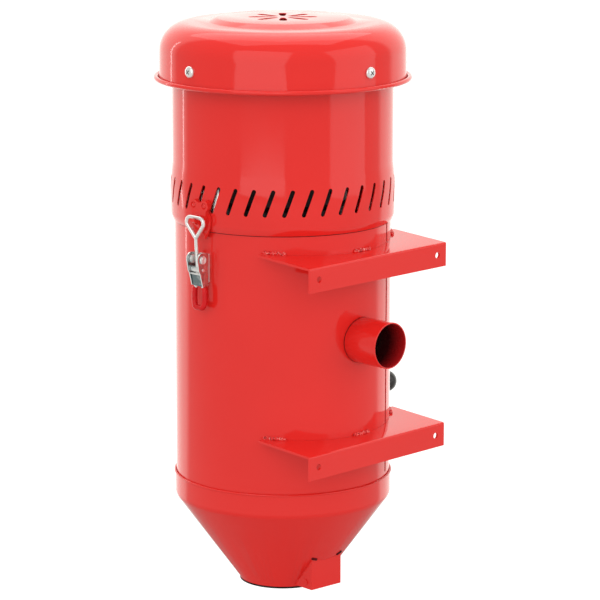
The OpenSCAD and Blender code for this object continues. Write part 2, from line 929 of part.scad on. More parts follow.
module armature() {
    color(STEEL)
        difference() {
            translate([0, 0, core_low_z])
                cylinder(r = armature_r, h = core_h);
            translate([0, 0, core_low_z - cut_over])
                cylinder(r = shaft_r + fit_gap, h = core_h + 2 * cut_over);
            for (i = [0 : 11])
                rotate([0, 0, i * 30])
                    translate([armature_r - 2.6, -1.2, core_low_z - cut_over])
                        cube([6, 2.4, core_h + 2 * cut_over]);
        }
}

module commutator() {
    color("#c77a3f")
        ring(commutator_r, shaft_r + fit_gap, commutator_low_z, commutator_h);
}

module motor_shaft() {
    color(ZINC)
        translate([0, 0, housing_z + 4])
            cylinder(r = shaft_r, h = upper_bearing_z + 30 - housing_z - 4);
}

// The suction impeller: two discs with curved blades between them.
module suction_impeller() {
    blade_r = 34;
    disc_z = housing_z + 5;
    color(STEEL)
        difference() {
            union() {
                ring(62, 22, disc_z, 1);
                translate([0, 0, disc_z + 17])
                    cylinder(r = 62, h = 1);
                translate([0, 0, disc_z + 9])
                    cylinder(r = 10, h = 9);
                for (i = [0 : 6])
                    rotate([0, 0, i * 360 / 7])
                        translate([28, 0, disc_z + 0.5])
                            rotate([0, 0, 20])
                                intersection() {
                                    ring(blade_r, blade_r - 1, 0, 17);
                                    translate([0, 0, -1])
                                        cube([40, 26, 20]);
                                }
            }
            translate([0, 0, disc_z - 5])
                cylinder(r = shaft_r + fit_gap, h = 40);
        }
}

module cooling_fan() {
    fan_z = plate_seat_z + plate_h + fan_gap;
    color(DARK)
        difference() {
            union() {
                translate([0, 0, fan_z])
                    cylinder(r = 9, h = 10);
                for (i = [0 : 6])
                    rotate([0, 0, i * 360 / 7])
                        translate([7, 0, fan_z + 5])
                            rotate([35, 0, 0])
                                translate([0, -6, -0.8])
                                    cube([31, 12, 1.6]);
            }
            translate([0, 0, fan_z - 10])
                cylinder(r = shaft_r + fit_gap, h = 40);
        }
}

/* ---------- filter shaker ---------- */

shaker_stroke = 20;
bush_shank_r = 8;
striker_x = cap_r + shaker_stroke + clear_gap;
bush_end_x = drum_r + 8.5;
knob_r = knob_d / 2;
rod_r = shaker_rod_d / 2;

// The bush is clamped in the drum's wall between its flange and a nut, and guides the rod.
module shaker_bush() {
    inner_x = sqrt(pow(drum_r - sheet_t, 2) - 12 * 12) - fit_gap;
    color(ZINC)
        difference() {
            union() {
                rod_x(bush_shank_r, inner_x - 5, bush_end_x, z = shaker_z);
                rod_x(12, drum_r + fit_gap, drum_r + 3, z = shaker_z);
                translate([inner_x - 5, 0, shaker_z])
                    rotate([0, 90, 0])
                        cylinder(r = 12, h = 5, $fn = 6);
            }
            rod_x(rod_r + run_gap, inner_x - 10, bush_end_x + 5, z = shaker_z);
        }
}

// The rod ends in a striker pad that taps the filter's bottom cap.
module shaker_rod() {
    color(ZINC)
        union() {
            rod_x(rod_r, striker_x, knob_x - knob_r + 8, z = shaker_z);
            rod_x(9, striker_x, striker_x + 4, z = shaker_z);
        }
}

module shaker_knob() {
    collar_x = knob_x - knob_r - 1.5;
    color(DARK)
        difference() {
            union() {
                translate([knob_x, 0, shaker_z])
                    sphere(r = knob_r);
                rod_x(7, collar_x, knob_x, z = shaker_z);
            }
            rod_x(rod_r + fit_gap, collar_x - cut_over, knob_x - knob_r + 8 + fit_gap, z = shaker_z);
        }
}

/* ---------- toggle latches ---------- */

latch_plate_x = drum_r + fit_gap;
latch_t = 2;
base_low_z = pivot_z - 26;
barrel_x = pivot_x - 0.8;
barrel_z = pivot_z - toggle_arm;
barrel_r = 3.4;
barrel_pin_r = 1.7;
lever_t = 1.5;
lever_low_z = pivot_z - 29.5;
lever_back_x = latch_plate_x + 4.4;
nose_r = 7.4;
web_top_z = pivot_z - 15.5;
ear_half_w = lever_w / 2 - lever_t - 0.5;
ear_r = 4.6;
pivot_r = 2.5;
bail_wire_r = 2.1;
bail_bar_x = 134.8;
bail_bar_z = 434;
bail_apex_z = 411;
stem_r = 2;
stem_end = 0.4;
grip_r = 3.2;
grip_wire_r = 2.2;
grip_half_w = 7.7;
grip_x = lever_back_x + 4.5;
grip_low_z = lever_low_z - 24;
elbow_swell = 0.04;

// Each latch is modelled on the +X side; the left one is the same turned half round.
module at_side(left) {
    rotate([0, 0, left ? 180 : 0])
        children();
}

// A plate in the X-Z plane, given by [x, z] points, from one Y to another.
module side_plate(points, y0, y1) {
    translate([0, y1, 0])
        rotate([90, 0, 0])
            linear_extrude(height = y1 - y0)
                polygon(points);
}

module latch_base(left) {
    plate_out = latch_plate_x + latch_t;
    color(ZINC)
        at_side(left)
            difference() {
                union() {
                    translate([latch_plate_x, -ear_half_w, base_low_z])
                        cube([latch_t, 2 * ear_half_w, pivot_z + 5 - base_low_z]);
                    for (y0 = [-ear_half_w, ear_half_w - latch_t]) {
                        side_plate([
                            [latch_plate_x, pivot_z - 7.5], [latch_plate_x, pivot_z + 4.5],
                            [plate_out + 1, pivot_z + 4.5], [pivot_x + 1.5, pivot_z + 4],
                            [pivot_x, pivot_z - 4], [plate_out + 3, pivot_z - 5.5]
                        ], y0, y0 + latch_t);
                        rod_y(ear_r, y0, y0 + latch_t, x = pivot_x, z = pivot_z);
                    }
                }
                rod_y(pivot_r + run_gap, -ear_half_w - cut_over, ear_half_w + cut_over,
                    x = pivot_x, z = pivot_z);
            }
}

module left_latch_base() {
    latch_base(true);
}

module right_latch_base() {
    latch_base(false);
}

// Domed rivets that hold the latch bases to the drum and the keepers to the head.
module latch_rivets() {
    color(PAINT)
        for (left = [true, false])
            at_side(left) {
                for (z = [base_low_z + 5, base_low_z + 15])
                    rivet_head(latch_plate_x + latch_t, 0, z, 3.4, 1.5);
                for (side = [-1, 1])
                    rivet_head(keeper_face_x - rivet_sink, side * keeper_rivet_y, keeper_rivet_z,
                        rivet_hole_r - 0.8, 1.6);
            }
}

module rivet_head(x, y, z, radius, height) {
    translate([x, y, z])
        rotate([0, 90, 0])
            dome(radius, height);
}

keeper_x = band_r + fit_gap;
keeper_face_x = keeper_x + 5.8;
keeper_rivet_y = 8;
keeper_rivet_z = 446.3;
rivet_hole_r = 3.5;
rivet_sink = 1.2;
hook_half_w = 3.6;
lip_h = 1.8;

// The keeper: a flush foot, a raised plate with two round ears and a hook for the bail's bar.
module keeper(left) {
    hook_top = bail_bar_z - bail_wire_r - clear_gap;
    lip_x = bail_bar_x + bail_wire_r + 1.4;
    color(PAINT)
        at_side(left)
            difference() {
                union() {
                    translate([keeper_x, 0, 0])
                        rotate([90, 0, 90]) {
                            linear_extrude(height = latch_t)
                                polygon([
                                    [-12, 438], [-14, 431], [-13, 424], [-10, 416], [-6, 410], [6, 410],
                                    [10, 416], [13, 424], [14, 431], [12, 438]
                                ]);
                            linear_extrude(height = keeper_face_x - keeper_x) {
                                polygon([
                                    [-11, 444], [-10.5, 436], [-6, 419], [6, 419], [10.5, 436],
                                    [11, 444], [8, 451], [0, 449.5], [-8, 451]
                                ]);
                                for (side = [-1, 1])
                                    translate([side * keeper_rivet_y, keeper_rivet_z])
                                        circle(r = 6);
                            }
                        }
                    side_plate([
                        [keeper_x, 420], [keeper_x, hook_top], [lip_x, hook_top],
                        [lip_x + 0.2, hook_top + lip_h], [lip_x + 1.6, hook_top + lip_h],
                        [lip_x + 1.4, hook_top - 1.6], [keeper_face_x + 3.4, hook_top - 5],
                        [keeper_face_x + 1, hook_top - 11]
                    ], -hook_half_w, hook_half_w);
                }
                for (side = [-1, 1])
                    rod_x(rivet_hole_r, keeper_face_x - rivet_sink, keeper_face_x + cut_over,
                        y = side * keeper_rivet_y, z = keeper_rivet_z);
                rod_x(1.2, keeper_face_x - 2, lip_x, z = hook_top - 4.6);
            }
}

module left_keeper() {
    keeper(true);
}

module right_keeper() {
    keeper(false);
}

// Two short rivets join the lever's cheeks to the base's ears and leave the middle free.
module latch_pivots(left) {
    color(ZINC)
        at_side(left)
            for (side = [0, 180])
                translate([pivot_x, 0, pivot_z])
                    rotate([0, 0, side]) {
                        rod_y(pivot_r, ear_half_w - latch_t - 1.2, lever_w / 2 + 0.3 + 1.2);
                        rod_y(pivot_r + 1.2, ear_half_w - latch_t - 1.2, ear_half_w - latch_t - 0.1);
                        rod_y(pivot_r + 2, lever_w / 2 + 0.3, lever_w / 2 + 1.5);
                    }
}

module left_pivots() {
    latch_pivots(true);
}

module right_pivots() {
    latch_pivots(false);
}

// The lever: two round-nosed cheeks joined by a web across their lower front edges.
module lever(left) {
    front_x = lever_back_x + 8.6;
    web_lean = 2.3;
    cheek = [
        [pivot_x + 6.6, pivot_z - 3], [pivot_x + 4.6, pivot_z + 5.2], [lever_back_x + 2, pivot_z + 7],
        [lever_back_x, pivot_z + 5], [lever_back_x, lever_low_z], [front_x, lever_low_z],
        [front_x + web_lean + 1, web_top_z]
    ];
    color(ZINC)
        at_side(left)
            difference() {
                union() {
                    for (y0 = [-lever_w / 2, lever_w / 2 - lever_t]) {
                        side_plate(cheek, y0, y0 + lever_t);
                        rod_y(nose_r, y0, y0 + lever_t, x = pivot_x, z = pivot_z);
                    }
                    side_plate([
                        [front_x - lever_t, lever_low_z], [front_x, lever_low_z],
                        [front_x + web_lean, web_top_z], [front_x + web_lean - lever_t, web_top_z]
                    ], -lever_w / 2 + 0.5, lever_w / 2 - 0.5);
                }
                rod_y(pivot_r + run_gap, -lever_w, lever_w, x = pivot_x, z = pivot_z);
                rod_y(barrel_pin_r + run_gap, -lever_w, lever_w, x = barrel_x, z = barrel_z);
            }
}

module left_lever() {
    lever(true);
}

module right_lever() {
    lever(false);
}

// The wire handle: two bare legs in the lever that spread into dipped legs and a cross bar.
module grip(left) {
    inner_y = lever_w / 2 - lever_t - grip_wire_r - 0.2;
    top = [grip_x, inner_y, web_top_z - 2];
    mouth = [grip_x, inner_y, lever_low_z - 0.5];
    knee = [grip_x, grip_half_w, lever_low_z - 4];
    shin = [grip_x + 0.3, grip_half_w, grip_low_z + 5];
    foot = [grip_x + 1.2, grip_half_w - 2.4, grip_low_z];
    color("#c81f26")
        at_side(left)
            union() {
                for (side = [1, -1]) {
                    bar_between(mirror_y(top, side), mirror_y(mouth, side), grip_wire_r);
                    translate(mirror_y(mouth, side))
                        sphere(r = grip_wire_r + elbow_swell, $fn = 32);
                    bar_between(mirror_y(mouth, side), mirror_y(knee, side), grip_wire_r);
                    bar_between(mirror_y(knee, side), mirror_y(shin, side), grip_r);
                    bar_between(mirror_y(shin, side), mirror_y(foot, side), grip_r);
                    for (p = [knee, shin, foot])
                        translate(mirror_y(p, side))
                            sphere(r = grip_r + elbow_swell, $fn = 32);
                }
                bar_between(mirror_y(foot, 1), mirror_y(foot, -1), grip_r);
            }
}

function mirror_y(p, side) = [p[0], p[1] * side, p[2]];

// A round bar between two points.
module bar_between(a, b, r) {
    v = b - a;
    translate(a)
        rotate([0, acos(v[2] / norm(v)), atan2(v[1], v[0])])
            cylinder(r = r, h = norm(v), $fn = 32);
}

module left_grip() {
    grip(true);
}

module right_grip() {
    grip(false);
}

// A point on the stem's axis, at a height above the barrel.
function stem_at(up) = [
    barrel_x + up * (bail_bar_x - barrel_x) / (bail_bar_z - barrel_z), 0, barrel_z + up
];

// The barrel that the bail screws into, with a pin at each end for the lever's cheeks.
module barrel(left) {
    half = lever_w / 2 - lever_t - clear_gap;
    color(ZINC)
        at_side(left)
            difference() {
                union() {
                    rod_y(barrel_r, -half, half, x = barrel_x, z = barrel_z);
                    rod_y(barrel_pin_r, -lever_w / 2 - 0.4, lever_w / 2 + 0.4, x = barrel_x, z = barrel_z);
                }
                bar_between(stem_at(-10), stem_at(10), stem_r + run_gap);
            }
}

module left_barrel() {
    barrel(true);
}

module right_barrel() {
    barrel(false);
}

// The bail: a triangular wire loop on a threaded stem.
module bail(left) {
    half = bail_w / 2 - bail_wire_r;
    tip = stem_at(bail_apex_z - barrel_z);
    bends = [
        for (v = [[0, -7.5], [0.9, -3.6], [3.2, -1.1], [6.2, 0]])
            [bail_bar_x, half - v[0], bail_bar_z + v[1]]
    ];
    color(ZINC)
        at_side(left)
            union() {
                bar_between(stem_at(-barrel_r - stem_end), tip, stem_r);
                for (side = [1, -1]) {
                    bar_between(tip, mirror_y(bends[0], side), bail_wire_r);
                    for (i = [0 : 2])
                        bar_between(mirror_y(bends[i], side), mirror_y(bends[i + 1], side), bail_wire_r);
                    for (p = bends)
                        translate(mirror_y(p, side))
                            sphere(r = bail_wire_r + elbow_swell, $fn = 32);
                }
                bar_between(mirror_y(bends[3], 1), mirror_y(bends[3], -1), bail_wire_r);
                translate(tip)
                    sphere(r = stem_r + 0.2, $fn = 32);
            }
}

module left_bail() {
    bail(true);
}

module right_bail() {
    bail(false);
}

drum_shell();
hopper_cone();
inlet_pipe();
upper_bracket();
lower_bracket();
hinge_bracket();
hinge_pin();
flap_plate();
flap_seal();
flap_rivet();
flap_spring();
head_shell();
top_cover();
cover_spacers();
cover_screws();
head_gasket();
motor_deck();
filter_top_plate();
filter_media();
filter_bottom_cap();
filter_tie_rod();
filter_wing_nut();
motor_gasket();
fan_housing();
motor_bracket();
field_coils();
field_core();
motor_bearings();
brush_holders();
armature();
commutator();
motor_shaft();
suction_impeller();
cooling_fan();
cable_gland();
shaker_bush();
shaker_rod();
shaker_knob();
left_latch_base();
right_latch_base();
latch_rivets();
left_keeper();
right_keeper();
left_pivots();
right_pivots();
left_lever();
right_lever();
left_grip();
right_grip();
left_barrel();
right_barrel();
left_bail();
right_bail();
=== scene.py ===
import json
import math

import bmesh
import bpy
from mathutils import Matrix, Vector


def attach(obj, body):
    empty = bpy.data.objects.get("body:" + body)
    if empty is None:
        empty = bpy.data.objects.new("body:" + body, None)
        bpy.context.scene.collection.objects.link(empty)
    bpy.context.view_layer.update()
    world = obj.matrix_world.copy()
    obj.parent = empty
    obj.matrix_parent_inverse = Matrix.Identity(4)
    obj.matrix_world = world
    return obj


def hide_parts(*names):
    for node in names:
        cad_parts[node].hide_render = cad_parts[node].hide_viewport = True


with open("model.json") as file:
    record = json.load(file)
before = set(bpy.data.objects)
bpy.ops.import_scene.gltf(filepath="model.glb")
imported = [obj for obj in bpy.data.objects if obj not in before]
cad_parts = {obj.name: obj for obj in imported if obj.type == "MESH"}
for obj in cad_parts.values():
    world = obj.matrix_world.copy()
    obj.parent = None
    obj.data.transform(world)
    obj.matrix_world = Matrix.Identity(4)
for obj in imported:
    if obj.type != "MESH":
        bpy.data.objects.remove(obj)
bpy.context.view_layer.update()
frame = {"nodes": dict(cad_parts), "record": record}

MM = 0.001
ROOT = "collector"
scene = bpy.context.scene

# ---------------------------------------------------------------- camera

# The camera stands left of the mounting side and looks a little down at the drum's axis.
CAMERA_AZIMUTH = math.radians(-45.67)
CAMERA_DISTANCE = 3.2588
CAMERA_HEIGHT = 1.0043
CAMERA_PITCH = 0.206
CAMERA_LENS = 179.6
CAMERA_SENSOR = 36
CAMERA_SHIFT_X = 0.0286
CAMERA_REACH = 60


def aim(thing, direction):
    """Turns a camera or a lamp to face along a direction."""
    thing.rotation_mode = "QUATERNION"
    thing.rotation_quaternion = direction.to_track_quat("-Z", "Y")


def add_camera():
    data = bpy.data.cameras.new("camera")
    data.lens = CAMERA_LENS
    data.sensor_width = CAMERA_SENSOR
    data.shift_x = CAMERA_SHIFT_X
    data.clip_end = CAMERA_REACH
    camera = bpy.data.objects.new("camera", data)
    side, front = math.sin(CAMERA_AZIMUTH), -math.cos(CAMERA_AZIMUTH)
    camera.location = (side * CAMERA_DISTANCE, front * CAMERA_DISTANCE, CAMERA_HEIGHT)
    level = math.cos(CAMERA_PITCH)
    aim(camera, Vector((-side * level, -front * level, -math.sin(CAMERA_PITCH))))
    scene.collection.objects.link(camera)
    scene.camera = camera


# ---------------------------------------------------------------- shader nodes

# A Mix node's sockets have the same names for numbers and for colours, so they go by number.
MIX_FACTOR = 0
NUMBER_A, NUMBER_B, NUMBER_OUT = 2, 3, 0
COLOR_A, COLOR_B, COLOR_OUT = 6, 7, 2


def map_range(tree, source, start, stop, low, high, interpolation="LINEAR"):
    """Maps start to stop onto low to high, and holds the ends."""
    node = tree.nodes.new("ShaderNodeMapRange")
    node.interpolation_type = interpolation
    node.inputs["From Min"].default_value = start
    node.inputs["From Max"].default_value = stop
    node.inputs["To Min"].default_value = low
    node.inputs["To Max"].default_value = high
    tree.links.new(source, node.inputs["Value"])
    return node.outputs["Result"]


def combine(tree, operation, first, second):
    """One number out of two sockets."""
    node = tree.nodes.new("ShaderNodeMath")
    node.operation = operation
    tree.links.new(first, node.inputs[0])
    tree.links.new(second, node.inputs[1])
    return node.outputs[0]


def vector_step(tree, operation, source, other=None):
    """One step of arithmetic on a vector; gives the node's outputs."""
    node = tree.nodes.new("ShaderNodeVectorMath")
    node.operation = operation
    tree.links.new(source, node.inputs[0])
    if other:
        node.inputs[1].default_value = other
    return node.outputs


# ---------------------------------------------------------------- materials

NOISE_ROUGHNESS = 0.55
# Where the painted shade in the inlet's bore begins and where it is full, as Y in metres.
BORE_SHADE = (-0.160, -0.138)


class Recipe:
    """A node material that is put together from a few kinds of surface detail.

    A texture's scale is in cells per metre. start and stop are the part of its range that counts.
    """

    def __init__(self, name, color, roughness, metallic=0.0):
        self.material = bpy.data.materials.new(name)
        self.material.use_nodes = True
        self.material.diffuse_color = (*color, 1)
        self.tree = self.material.node_tree
        self.shader = self.tree.nodes["Principled BSDF"]
        self.shader.inputs["Base Color"].default_value = (*color, 1)
        self.shader.inputs["Metallic"].default_value = metallic
        self.shader.inputs["Roughness"].default_value = roughness
        self.color = color
        self.place = self.tree.nodes.new("ShaderNodeTexCoord").outputs["Object"]
        self.normal = None

    def noise(self, scale, detail, stretch=(1, 1, 1)):
        mapping = self.tree.nodes.new("ShaderNodeMapping")
        mapping.inputs["Scale"].default_value = stretch
        self.tree.links.new(self.place, mapping.inputs["Vector"])
        texture = self.tree.nodes.new("ShaderNodeTexNoise")
        texture.inputs["Scale"].default_value = scale
        texture.inputs["Detail"].default_value = detail
        texture.inputs["Roughness"].default_value = NOISE_ROUGHNESS
        self.tree.links.new(mapping.outputs["Vector"], texture.inputs["Vector"])
        return texture.outputs["Fac"]

    def cells(self, scale):
        texture = self.tree.nodes.new("ShaderNodeTexVoronoi")
        texture.inputs["Scale"].default_value = scale
        self.tree.links.new(self.place, texture.inputs["Vector"])
        return texture.outputs["Distance"]

    def tint(self, source, color, amount, start=0.4, stop=0.75):
        """Mixes another colour into the base colour where the source is high."""
        mix = self.tree.nodes.new("ShaderNodeMix")
        mix.data_type = "RGBA"
        base = self.shader.inputs["Base Color"]
        if base.is_linked:
            self.tree.links.new(base.links[0].from_socket, mix.inputs[COLOR_A])
        else:
            mix.inputs[COLOR_A].default_value = (*self.color, 1)
        mix.inputs[COLOR_B].default_value = (*color, 1)
        factor = map_range(self.tree, source, start, stop, 0.0, amount)
        self.tree.links.new(factor, mix.inputs[MIX_FACTOR])
        self.tree.links.new(mix.outputs[COLOR_OUT], base)

    def rough(self, source, low, high, start=0.3, stop=0.7):
        """Spreads the roughness from low to high by the source."""
        roughness = map_range(self.tree, source, start, stop, low, high)
        self.tree.links.new(roughness, self.shader.inputs["Roughness"])

    def bump(self, source, depth, strength):
        """Adds relief; depth is in metres."""
        node = self.tree.nodes.new("ShaderNodeBump")
        node.inputs["Strength"].default_value = strength
        node.inputs["Distance"].default_value = depth
        self.tree.links.new(source, node.inputs["Height"])
        if self.normal:
            self.tree.links.new(self.normal, node.inputs["Normal"])
        self.normal = node.outputs["Normal"]
        self.tree.links.new(self.normal, self.shader.inputs["Normal"])

    def socket(self, name, value):
        self.shader.inputs[name].default_value = value


def paint_recipe():
    """Glossy powder coat on sheet steel: orange peel, slight waves and dust in the film."""
    r = Recipe("red_powder_coat", (0.80, 0.022, 0.018), roughness=0.14)
    r.tint(r.noise(7, 2), (0.73, 0.017, 0.014), 0.5)
    r.tint(r.noise(900, 2), (0.84, 0.04, 0.032), 0.25, 0.55, 0.8)
    r.rough(r.noise(24, 4), 0.05, 0.10)
    r.bump(r.noise(16, 1, (1, 1, 0.3)), 0.0003, 0.1)
    r.bump(r.noise(420, 2), 0.00004, 0.4)
    return r.material


def bore_recipe():
    """The pipe's bore: a darker red than the outside coat, as painted shade, deepening to near black further
    in.
    """
    r = Recipe("red_coat_in_bore", (0.52, 0.010, 0.012), roughness=0.22)
    r.tint(r.noise(30, 3), (0.3, 0.004, 0.006), 0.5)
    parts = r.tree.nodes.new("ShaderNodeSeparateXYZ")
    r.tree.links.new(r.place, parts.inputs[0])
    # Painted shade: near black deeper into the bore.
    r.tint(parts.outputs["Y"], (0.03, 0.003, 0.005), 0.95, *BORE_SHADE)
    r.rough(r.noise(120, 4), 0.18, 0.4)
    r.bump(r.noise(300, 3), 0.00008, 0.6)
    return r.material


def painted_shade_recipe():
    """Painted shade: the near-black lines laid where painted pieces meet over a shaded gap, and the
    near-black colour of the beads on the hinge bracket.
    """
    r = Recipe("painted_shade_line", (0.07, 0.003, 0.005), roughness=0.5)
    r.tint(r.noise(140, 3), (0.25, 0.006, 0.008), 0.6, 0.5, 0.75)
    r.rough(r.noise(200, 3), 0.4, 0.7)
    r.socket("Specular IOR Level", 0.15)
    return r.material


def weld_recipe():
    """The same coat over a weld bead: thicker, duller and lumpy, with dark specks of painted shade and pale
    pink glints of painted highlight in its colour.
    """
    r = Recipe("red_coated_weld", (0.80, 0.020, 0.020), roughness=0.2)
    # Painted shade and painted highlight: dark specks, then pale pink glints.
    r.tint(r.noise(420, 2), (0.30, 0.004, 0.008), 0.8, 0.5, 0.62)
    r.tint(r.noise(650, 2), (1.0, 0.42, 0.38), 0.75, 0.55, 0.64)
    r.rough(r.noise(200, 3), 0.06, 0.2)
    r.bump(r.noise(380, 3), 0.0004, 0.7)
    return r.material


def vinyl_recipe():
    """Soft dipped vinyl on the latch handles."""
    r = Recipe("red_dipped_vinyl", (0.66, 0.006, 0.010), roughness=0.24)
    r.tint(r.noise(120, 3), (0.42, 0.003, 0.006), 0.5)
    r.rough(r.noise(90, 4), 0.16, 0.32)
    r.bump(r.noise(260, 3), 0.00018, 0.5)
    r.socket("Specular IOR Level", 0.3)
    return r.material


def zinc_recipe():
    """Bright zinc plating with faint drawing marks and a bluish cast."""
    r = Recipe("bright_zinc", (0.93, 0.93, 0.92), metallic=0.72, roughness=0.16)
    r.tint(r.noise(60, 4), (0.72, 0.77, 0.80), 0.4)
    r.tint(r.noise(150, 3), (0.90, 0.86, 0.78), 0.2, 0.55, 0.8)
    r.rough(r.noise(300, 4, (1, 1, 0.08)), 0.10, 0.26)
    r.bump(r.noise(700, 3, (1, 1, 0.06)), 0.00003, 0.4)
    return r.material


def shaded_zinc_recipe():
    """Zinc on the faces inside the lever, painted dark as painted shade, with pale streaks of painted
    reflection.
    """
    r = Recipe("shaded_zinc", (0.20, 0.26, 0.27), metallic=1.0, roughness=0.2)
    r.tint(r.noise(170, 3, (1, 0.35, 1)), (0.72, 0.76, 0.76), 0.8, 0.5, 0.66)
    r.rough(r.noise(300, 4, (1, 1, 0.08)), 0.12, 0.3)
    r.bump(r.noise(500, 3, (1, 1, 0.1)), 0.00003, 0.4)
    return r.material


def recess_shade_recipe():
    """Painted shade: near black for the floor of a recess."""
    r = Recipe("painted_recess_shade", (0.03, 0.028, 0.026), roughness=0.5)
    r.tint(r.noise(1500, 3), (0.12, 0.11, 0.10), 0.6, 0.5, 0.7)
    r.rough(r.noise(900, 3), 0.35, 0.65)
    return r.material


def flank_zinc_recipe():
    """Zinc on the lever's flanks, darker and a little duller than the wire, with dark streaks and pale spots.
    """
    r = Recipe("flank_zinc", (0.66, 0.70, 0.70), metallic=1.0, roughness=0.24)
    r.tint(r.noise(140, 3, (1, 1, 0.4)), (0.36, 0.40, 0.41), 0.8, 0.46, 0.62)
    r.tint(r.noise(260, 2), (0.95, 0.95, 0.94), 0.6, 0.58, 0.68)
    r.rough(r.noise(300, 4, (1, 1, 0.08)), 0.14, 0.32)
    r.bump(r.noise(600, 3, (1, 1, 0.08)), 0.00003, 0.4)
    return r.material


def steel_recipe():
    """Plain sheet and machined steel inside the head, coloured near black as painted shade for the drum's
    dark inside.
    """
    r = Recipe("inner_steel", (0.075, 0.075, 0.08), metallic=0.8, roughness=0.45)
    r.tint(r.noise(30, 5), (0.04, 0.038, 0.035), 0.6)
    r.rough(r.noise(180, 4), 0.28, 0.5)
    r.bump(r.noise(500, 3, (1, 1, 0.1)), 0.00005, 0.5)
    return r.material


def galvanised_recipe():
    """Bright galvanised sheet with its crystals."""
    r = Recipe("galvanised_sheet", (0.72, 0.73, 0.72), metallic=1.0, roughness=0.12)
    r.tint(r.cells(90), (0.55, 0.57, 0.58), 0.5, 0.2, 0.8)
    r.rough(r.cells(90), 0.08, 0.2, 0.1, 0.9)
    r.bump(r.noise(40, 2), 0.0001, 0.2)
    return r.material


def rubber_recipe():
    """Black sponge rubber."""
    r = Recipe("black_rubber", (0.010, 0.0095, 0.010), roughness=0.85)
    r.tint(r.noise(90, 4), (0.03, 0.027, 0.025), 0.5)
    r.rough(r.noise(60, 3), 0.62, 0.85)
    r.bump(r.cells(900), 0.00012, 0.5)
    r.socket("Specular IOR Level", 0.15)
    return r.material


def black_plastic_recipe():
    """Moulded black plastic with a fine spark texture."""
    r = Recipe("black_plastic", (0.014, 0.014, 0.015), roughness=0.28)
    r.tint(r.noise(70, 3), (0.035, 0.033, 0.032), 0.5)
    r.rough(r.noise(120, 4), 0.2, 0.36)
    r.bump(r.noise(1400, 2), 0.00002, 0.5)
    return r.material


def paper_recipe():
    """Pleated filter paper with grey dust on it."""
    r = Recipe("filter_paper", (0.76, 0.71, 0.58), roughness=0.9)
    r.tint(r.noise(25, 5), (0.42, 0.39, 0.34), 0.7)
    r.rough(r.noise(200, 3), 0.82, 0.97)
    r.bump(r.noise(1500, 3), 0.00008, 0.6)
    return r.material


def copper_recipe():
    """Varnished copper winding."""
    r = Recipe("copper_winding", (0.72, 0.30, 0.13), metallic=0.8, roughness=0.35)
    r.tint(r.noise(40, 3), (0.45, 0.15, 0.06), 0.6)
    r.rough(r.noise(150, 3), 0.28, 0.45)
    r.bump(r.noise(1100, 1, (0.1, 1, 1)), 0.0001, 0.8)
    return r.material


def brass_recipe():
    """Turned brass."""
    r = Recipe("turned_brass", (0.72, 0.52, 0.20), metallic=1.0, roughness=0.3)
    r.tint(r.noise(60, 3), (0.5, 0.34, 0.12), 0.5)
    r.rough(r.noise(260, 3), 0.22, 0.4)
    r.bump(r.noise(900, 2, (1, 0.1, 1)), 0.00003, 0.5)
    return r.material


PAINT = paint_recipe()
BORE = bore_recipe()
# Painted shade for the gaps between painted pieces and for the hinge bracket's beads.
PAINTED_SHADE = painted_shade_recipe()
WELD = weld_recipe()
VINYL = vinyl_recipe()
ZINC = zinc_recipe()
SHADED_ZINC = shaded_zinc_recipe()
FLANK_ZINC = flank_zinc_recipe()
RECESS_SHADE = recess_shade_recipe()
STEEL = steel_recipe()
GALVANISED = galvanised_recipe()
RUBBER = rubber_recipe()
BLACK = black_plastic_recipe()
PAPER = paper_recipe()
COPPER = copper_recipe()
BRASS = brass_recipe()

SLOT_MATERIALS = {
    "red_paint": PAINT, "zinc": ZINC, "steel": STEEL, "black_rubber": RUBBER,
    "black_plastic": BLACK, "red_vinyl": VINYL, "filter_paper": PAPER, "copper": COPPER,
    "brass": BRASS,
}
SUBPARTS = {part["node"]: part for part in frame["record"]["subparts"]}
NODE_BODY = {node: body for body, nodes in frame["record"]["behaviour"]["bodies"].items() for node in nodes}


def dress_nodes():
    """Gives every CAD node the material of its slot in the record; the motor's deck is galvanised."""
    for name, part in SUBPARTS.items():
        node = frame["nodes"][name]
        node.data.materials.clear()
        material = GALVANISED if name == "motor_deck" else SLOT_MATERIALS[part["material_slot"]]
        node.data.materials.append(material)


# ---------------------------------------------------------------- mesh helpers

# Vertices of a CAD mesh that are one corner, in metres, and faces that are one flat.
SAME_CORNER = 2e-6
SAME_FLAT = math.radians(0.6)
EDGE_ANGLE = math.radians(32)
EDGE_SEGMENTS = 3
# A tube's rounded end: how far it stands out, as a share of the radius, and its rings from the tip.
CAP_DEPTH = 0.35
CAP_STEPS = [0.25, 0.7, 0.95]


def link_piece(name, mesh, material, slot, body, *nodes):
    """Makes a piece of a mesh, sets it on its body and hides the CAD nodes it stands for."""
    piece = bpy.data.objects.new(name, mesh)
    mesh.materials.clear()
    mesh.materials.append(material)
    scene.collection.objects.link(piece)
    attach(piece, body)
    if nodes:
        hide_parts(*nodes)
    return piece


def round_edges(piece, width):
    bevel = piece.modifiers.new("rounded_edges", "BEVEL")
    bevel.width = width
    bevel.segments = EDGE_SEGMENTS
    bevel.limit_method = "ANGLE"
    bevel.angle_limit = EDGE_ANGLE
    bevel.harden_normals = True


